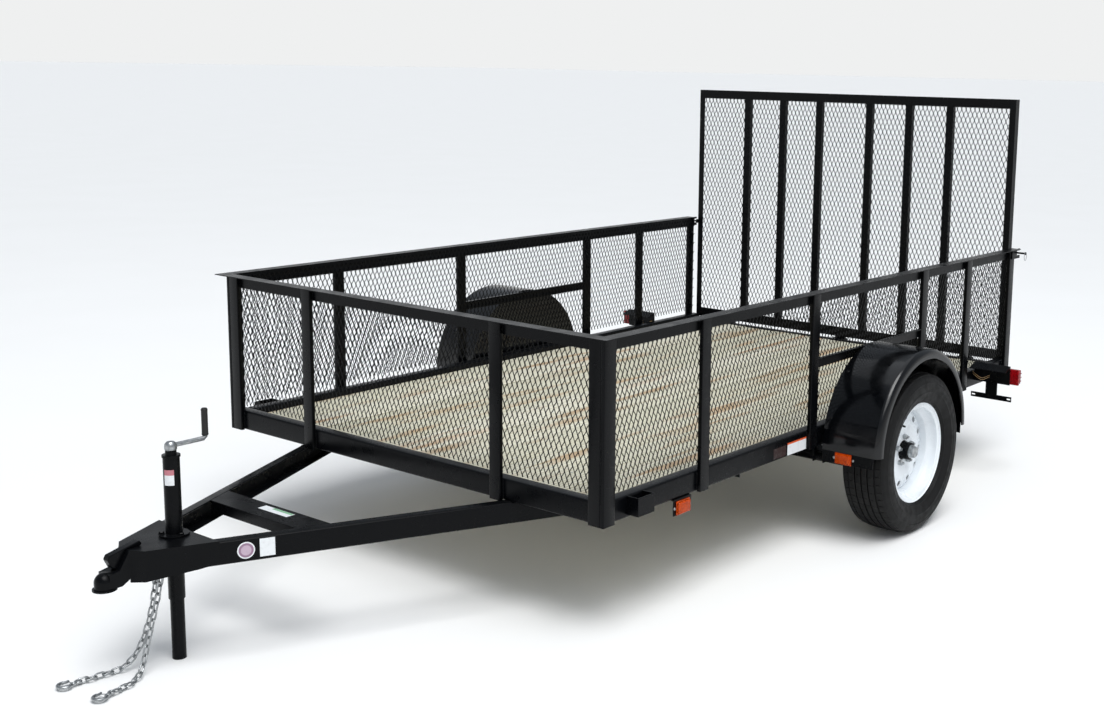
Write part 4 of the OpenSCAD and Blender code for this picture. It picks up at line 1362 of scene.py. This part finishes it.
@dataclass
class Labels:
    """Blank labels: thin vinyl with nothing printed on it but flat colour."""

    finishes: dict[str, bpy.types.Material]
    thick: float = 0.5 * MM
    rounded: float = 0.15 * MM
    jack_skin: float = 25.4

    def stick(self, name: str, colour: str, shape: bmesh.types.BMesh) -> None:
        """Makes a label's shape a piece of one colour."""
        placed(name, to_mesh(shape), self.finishes[colour])

    def on_side(self, name: str, colour: str, x: tuple[float, float], z: tuple[float, float]) -> None:
        """A label on the left rail's outer face, from x to x and z to z in millimetres."""
        a, b = (bed(end, BED_HALF / MM, height) for end, height in zip(x, z))
        self.stick(name, colour, block(a, b + Vector((0, self.thick, 0)), self.rounded, 1))

    def on_beam(self, name: str, colour: str, x: float, z: float, size: tuple[float, float], disc: bool = False,
                lift: float = 0.0) -> None:
        """A label on the outer web of the left tongue beam.

        Args:
            name: the piece's name.
            colour: its finish.
            x: its middle, from the front of the bed.
            z: its middle, from the ground.
            size: its width and height.
            disc: whether it is round.
            lift: how far it lies above the web, on other labels.
        """
        width, height = size[0] * MM, size[1] * MM
        shape = bmesh.new()
        if disc:
            bmesh.ops.create_cone(shape, cap_ends=True, segments=32, radius1=width / 2, radius2=width / 2,
                                  depth=self.thick, matrix=Matrix.Rotation(math.pi / 2, 4, "X"))
        else:
            bmesh.ops.create_cube(shape, size=1, matrix=Matrix.Diagonal((width, self.thick, height, 1)))
        out = Vector((math.sin(BEAM_SLOPE), math.cos(BEAM_SLOPE), 0))
        spot = bed(x, BEAM_OUT - x * math.tan(BEAM_SLOPE), z) + out * (self.thick / 2 + lift * MM)
        shape.transform(Matrix.Translation(spot) @ Matrix.Rotation(-BEAM_SLOPE, 4, "Z"))
        self.stick(name, colour, shape)

    def on_top(self, name: str, colour: str, middle: tuple[float, float], size: tuple[float, float],
               lift: float) -> None:
        """A label on top of the tongue's crossmember, in millimetres."""
        spot = bed(*middle, 0)
        spot.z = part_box("tongue_crossmember")[1].z + lift * MM
        half = Vector((size[0] / 2 * MM, size[1] / 2 * MM, 0))
        self.stick(name, colour, block(spot - half, spot + half + UP * self.thick, self.rounded, 1))

    def on_jack(self, name: str, colour: str, low: float, high: float) -> None:
        """A label wrapped round the front left of the jack's tube, in millimetres."""
        foot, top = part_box("jack_tube")
        axis = Vector(((foot.x + top.x) / 2, 0, 0))
        skin, face = self.jack_skin, self.jack_skin + self.thick / MM
        shape = lathe_up([(skin, low), (face, low), (face, high), (skin, high)], axis, 16,
                         start=math.radians(-72), sweep=math.radians(70))
        self.stick(name, colour, shape)

    def build(self) -> None:
        """Sticks on all the labels."""
        for colour, x, z in (("white", (-1225, -1085), (404, 446)), ("orange", (-1225, -1085), (446, 453)),
                             ("red", (-1075, -990), (408, 448))):
            self.on_side(f"rail_label_{colour}", colour, x, z)
        for word, colour, width, lift in (("rim", "white", 54, 0.0), ("ring", "plum", 46, 0.3),
                                          ("middle", "mauve", 32, 0.6)):
            self.on_beam(f"beam_label_round_{word}", colour, 792, 362, (width, width), disc=True, lift=lift)
        self.on_beam("beam_label_white", "white", 733, 364, (47, 58))
        for colour, middle, size, lift in (("white", (566, 40), (34, 150), 0.0),
                                           ("green", (556, 62), (12, 100), 0.3)):
            self.on_top(f"crossmember_label_{colour}", colour, middle, size, lift)
        for colour, low, high in (("pink", 600, 617), ("white", 568, 600)):
            self.on_jack(f"jack_label_{colour}", colour, low, high)


@dataclass
class Fastenings:
    """Welds on the frame and the gate, hinge and spring nuts, and the latch's clips, in millimetres."""

    paint: bpy.types.Material
    zinc: bpy.types.Material
    post_half: float = 25.5
    side_posts: tuple[float, ...] = (-530, -1245, -2135, -2565, -3022)
    front_post: float = 495
    top_z: float = 1020
    beam_wide: float = 38
    gate_bars: tuple[float, ...] = (0.16, 0.403, 0.645)
    clamp_bolt_x: float = 38
    clamp_bolt_y: tuple[float, ...] = (910.5, 968.5)
    spring_eye_x: float = 317
    spring_eye_y: tuple[float, ...] = (964.5, 914.5)
    hinge_share: float = 0.76
    hinge_half: float = 36

    def upright(self, x: float, y: float) -> list[tuple[Vector, Vector]]:
        """The welds down one edge of a post: over the rail and over the top band."""
        low, high = (corner.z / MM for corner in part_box("front_rail"))
        return [(bed(x, y, low + 8), bed(x, y, high - 8)),
                (bed(x, y, self.top_z - 44), bed(x, y, self.top_z - 4))]

    def welds(self) -> None:
        """Makes the welds of the sides, the gate and the tongue."""
        welds = Welds(self.paint)
        half = BED_HALF / MM
        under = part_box("front_rail")[0].z / MM - 1
        lines = []
        for sign in (1, -1):
            for x in self.side_posts:
                for edge in (-self.post_half, self.post_half):
                    lines += self.upright(x + edge, sign * (half + 0.5))
            for y in (self.front_post - self.post_half, self.front_post + self.post_half,
                      half - 2 * self.post_half):
                lines += self.upright(0.5, sign * y)
            for edge in (0, self.beam_wide / math.cos(BEAM_SLOPE)):
                y = BEAM_OUT - edge
                lines.append((bed(1, sign * (y - 4), under), bed(1, sign * (y - 30), under)))
        welds.run("frame_welds", lines, CHASSIS)
        gate_low, gate_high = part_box("gate_frame")
        across = Vector((0, 18 * MM, 0))
        lines = []
        for share in self.gate_bars:
            for sign in (-1, 1):
                for z in (gate_low.z + 3.6 * MM, gate_high.z - 3.6 * MM):
                    spot = Vector((gate_low.x + 11 * MM, sign * share * gate_high.y, z))
                    lines.append((spot - across, spot + across))
        welds.run("gate_welds", lines, GATE)

    def clips(self) -> None:
        """Makes the wire clip through the end of each latch pin."""
        low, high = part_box("gate_latch_pins")
        middle = (low + high) / 2 - UP * 15 * MM
        rings = []
        for y in (high.y - 3 * MM, low.y + 3 * MM):
            path = []
            for k in range(19):
                a = 2 * math.pi * k / 18
                path.append(Vector((middle.x + 13 * MM * math.sin(a), y, middle.z + 19 * MM * math.cos(a))))
            rings.append(swept(path, 1.3 * MM, 8, caps=False))
        placed("gate_latch_clips", to_mesh(joined(rings), 60), self.zinc, GATE)

    def bolts(self) -> None:
        """Makes the spring and clamp nuts and the hinge pins' heads."""
        spots, heads = [], []
        low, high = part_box("axle_clamps")
        eye_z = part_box("leaf_springs")[1].z - 16 * MM
        middle = (low.x + high.x) / 2
        for sign in (1, -1):
            for dx in (-self.clamp_bolt_x, self.clamp_bolt_x):
                for y in self.clamp_bolt_y:
                    spots.append((Vector((middle + dx * MM, sign * y * MM, low.z + 6 * MM)), -UP))
            for dx in (-self.spring_eye_x, self.spring_eye_x):
                for way, y in zip((1, -1), self.spring_eye_y):
                    spots.append((Vector((middle + dx * MM, sign * y * MM, eye_z)), Vector((0, way * sign, 0))))
        planted("running_gear_nuts", hexagon(20 * MM, 8 * MM, 12 * MM), spots, self.zinc, smooth_deg=20)
        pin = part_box("gate_hinge_knuckles")[0] + Vector((15 * MM, 0, 15 * MM))
        for share in (-self.hinge_share, 0, self.hinge_share):
            for way in (-1, 1):
                end = share * BED_HALF + way * self.hinge_half * MM
                heads.append((Vector((pin.x, end, pin.z)), Vector((0, way, 0))))
        planted("hinge_pin_heads", hexagon(19 * MM, 6 * MM), heads, self.zinc, smooth_deg=20)

    def build(self) -> None:
        """Makes all the fastenings."""
        self.welds()
        self.clips()
        self.bolts()


@dataclass
class Studio:
    """A pale floor, soft lights and the camera in front of the trailer's left corner."""

    camera_at: Point = (4.2796, 3.7884, 1.8714)
    yaw_deg: float = 216.64
    pitch_deg: float = 9.34
    roll_deg: float = -1.08
    lens_mm: float = 45.92
    shift: tuple[float, float] = (-0.1294, -0.0570)
    floor_half: float = 300

    def camera(self) -> None:
        """Makes the camera."""
        yaw, pitch, roll = (math.radians(a) for a in (self.yaw_deg, self.pitch_deg, self.roll_deg))
        ahead = Vector((math.cos(yaw) * math.cos(pitch), math.sin(yaw) * math.cos(pitch), -math.sin(pitch)))
        level = Vector((math.sin(yaw), -math.cos(yaw), 0))
        down = ahead.cross(level)
        right = math.cos(roll) * level + math.sin(roll) * down
        below = -math.sin(roll) * level + math.cos(roll) * down
        data = bpy.data.cameras.new("view")
        data.lens, data.sensor_width, data.sensor_fit = self.lens_mm, 36.0, "HORIZONTAL"
        data.shift_x, data.shift_y = self.shift
        data.clip_end = 1000
        camera = in_scene("view", data)
        turn = Matrix((right, -below, -ahead)).transposed().to_4x4()
        camera.matrix_world = Matrix.Translation(self.camera_at) @ turn
        bpy.context.scene.camera = camera

    @staticmethod
    def light(name: str, at: Point, aim: Point, size: tuple[float, float], power: float, colour: str) -> None:
        """Makes a soft rectangular light."""
        data = bpy.data.lights.new(name, "AREA")
        data.shape, data.size, data.size_y, data.energy = "RECTANGLE", size[0], size[1], power
        data.color = linear(colour)[:3]
        way = Vector(at) - Vector(aim)
        in_scene(name, data).matrix_world = (Matrix.Translation(at)
                                             @ way.to_track_quat("Z", "Y").to_matrix().to_4x4())

    @staticmethod
    def sky() -> None:
        """Makes the soft sky, white at the horizon and dimmer overhead."""
        world = bpy.data.worlds.new("soft_sky")
        world.use_nodes = True
        add = partial(add_node, world.node_tree)
        way = add("ShaderNodeTexCoord").outputs["Generated"]
        height = add("ShaderNodeSeparateXYZ", {0: way}).outputs[2]
        share = add("ShaderNodeMapRange", {0: height, 1: 0.05, 2: 0.4}).outputs[0]
        shade = add("ShaderNodeMix", {0: share, 6: linear("#f8f9f9"), 7: linear("#a6adb6")}, data_type="RGBA")
        background = world.node_tree.nodes["Background"]
        world.node_tree.links.new(shade.outputs[2], background.inputs["Color"])
        background.inputs["Strength"].default_value = 0.92
        bpy.context.scene.world = world

    def build(self, floor: bpy.types.Material) -> None:
        """Makes the whole stage."""
        self.camera()
        mesh = bpy.data.meshes.new("floor")
        half = self.floor_half
        corners = [(-half, -half, 0), (half, -half, 0), (half, half, 0), (-half, half, 0)]
        mesh.from_pydata(corners, [], [(0, 1, 2, 3)])
        mesh.materials.append(floor)
        in_scene("floor", mesh)
        self.sky()
        self.light("key", (3.0, 5.0, 6.5), (0, 0, 0.5), (5, 4), 170, "#ffffff")
        self.light("top", (-1.0, 0.5, 7.0), (-0.5, 0, 0.5), (8, 6), 90, "#f6f8fc")
        data = bpy.data.lights.new("sun", "SUN")
        data.energy, data.angle = 2.0, math.radians(35)
        turn = Vector((0.3, 0.5, 1.5)).to_track_quat("Z", "Y").to_matrix().to_4x4()
        in_scene("sun", data).matrix_world = turn
        bpy.context.scene.view_settings.view_transform = "Standard"


RIGHT_CHAIN = ((975, -15, 296), (979, -15, 258), (990, -16, 195), (1006, -17, 140), (1026, -19, 90),
               (1050, -21, 52), (1078, -27, 26), (1104, -36, 13), (1140, -42, 12), (1178, -45, 12),
               (1212, -52, 12))
LEFT_CHAIN = ((975, 15, 296), (982, 15, 262), (995, 17, 215), (1012, 19, 165), (1032, 24, 110), (1054, 34, 58),
              (1074, 44, 26), (1096, 57, 13), (1126, 76, 12), (1158, 87, 12), (1190, 89, 12))


def main() -> None:
    """Builds the trailer's looks in order."""
    logging.basicConfig(level=logging.INFO, format="%(name)s %(message)s")
    Studio().build(StudioFloor("backdrop_paper").build())
    boards = DeckBoards()
    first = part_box("deck_boards")[0].y - boards.gap / 2
    boards.timber = TreatedPine("treated_pine", board=boards.pitch, first=first).build()
    paint = BlackEnamel("gloss_black_enamel").build()
    gloss = BlackEnamel("deep_gloss_black_enamel", roughness=0.12, sheen=0.4, peel=0.08).build()
    zinc = boards.zinc = ZincPlate("bright_zinc_plate").build()
    enamel = WheelEnamel("white_wheel_enamel").build()
    rubber = TyreRubber("vulcanised_rubber").build()
    grip = MouldedGrip("moulded_vinyl_grip").build()
    amber = LampLens("amber_acrylic", "#d84e00", "#8a2a00").build()
    red = LampLens("red_acrylic", "#b00f17", "#5a060a").build()
    lead = PrintedVinyl("tan_lead_insulation", "#c2a070").build()
    labels = {word: PrintedVinyl(f"{word}_label_vinyl", code).build() for word, code in (
        ("white", "#dfe2e4"), ("orange", "#d2521c"), ("red", "#220806"), ("green", "#7fae8b"),
        ("pink", "#b8707a"), ("plum", "#8d6f86"), ("mauve", "#b9a3b4"))}

    for side, route in ((Side.RIGHT, RIGHT_CHAIN), (Side.LEFT, LEFT_CHAIN)):
        SafetyChain(side, route, zinc).build()
    boards.build()
    for node, along in (("mesh_left", (-1, 0, 0)), ("mesh_right", (1, 0, 0)), ("mesh_front", (0, 1, 0)),
                        ("gate_mesh", (0, 1, 0))):
        MeshSheet(node, along, paint).build()
    for side in Side:
        Wheel(side, rubber, enamel, paint, zinc).build()
        Fender(side, gloss).build()
    Jack(paint, zinc, grip).build()
    Lamps(amber, red, zinc, lead).build()
    Labels(labels).build()
    Fastenings(paint, zinc).build()
    own = {"deck_boards", "mesh_left", "mesh_right", "mesh_front", "gate_mesh", "jack_crank", "jack_grip",
           "marker_lights", "tail_lights"}
    for side in Side:
        own |= {f"{part}_{side.word}" for part in ("safety_chain", "chain_hook", "tyre", "rim", "hub",
                                                   "lug_nuts", "fender")}
    SteelWork({"paint": paint, "timber": boards.timber, "zinc": zinc, "rim": enamel, "tyre": rubber,
               "grip": grip, "amber": amber, "red": red}).build(own)


if __name__ == "__main__":
    main()
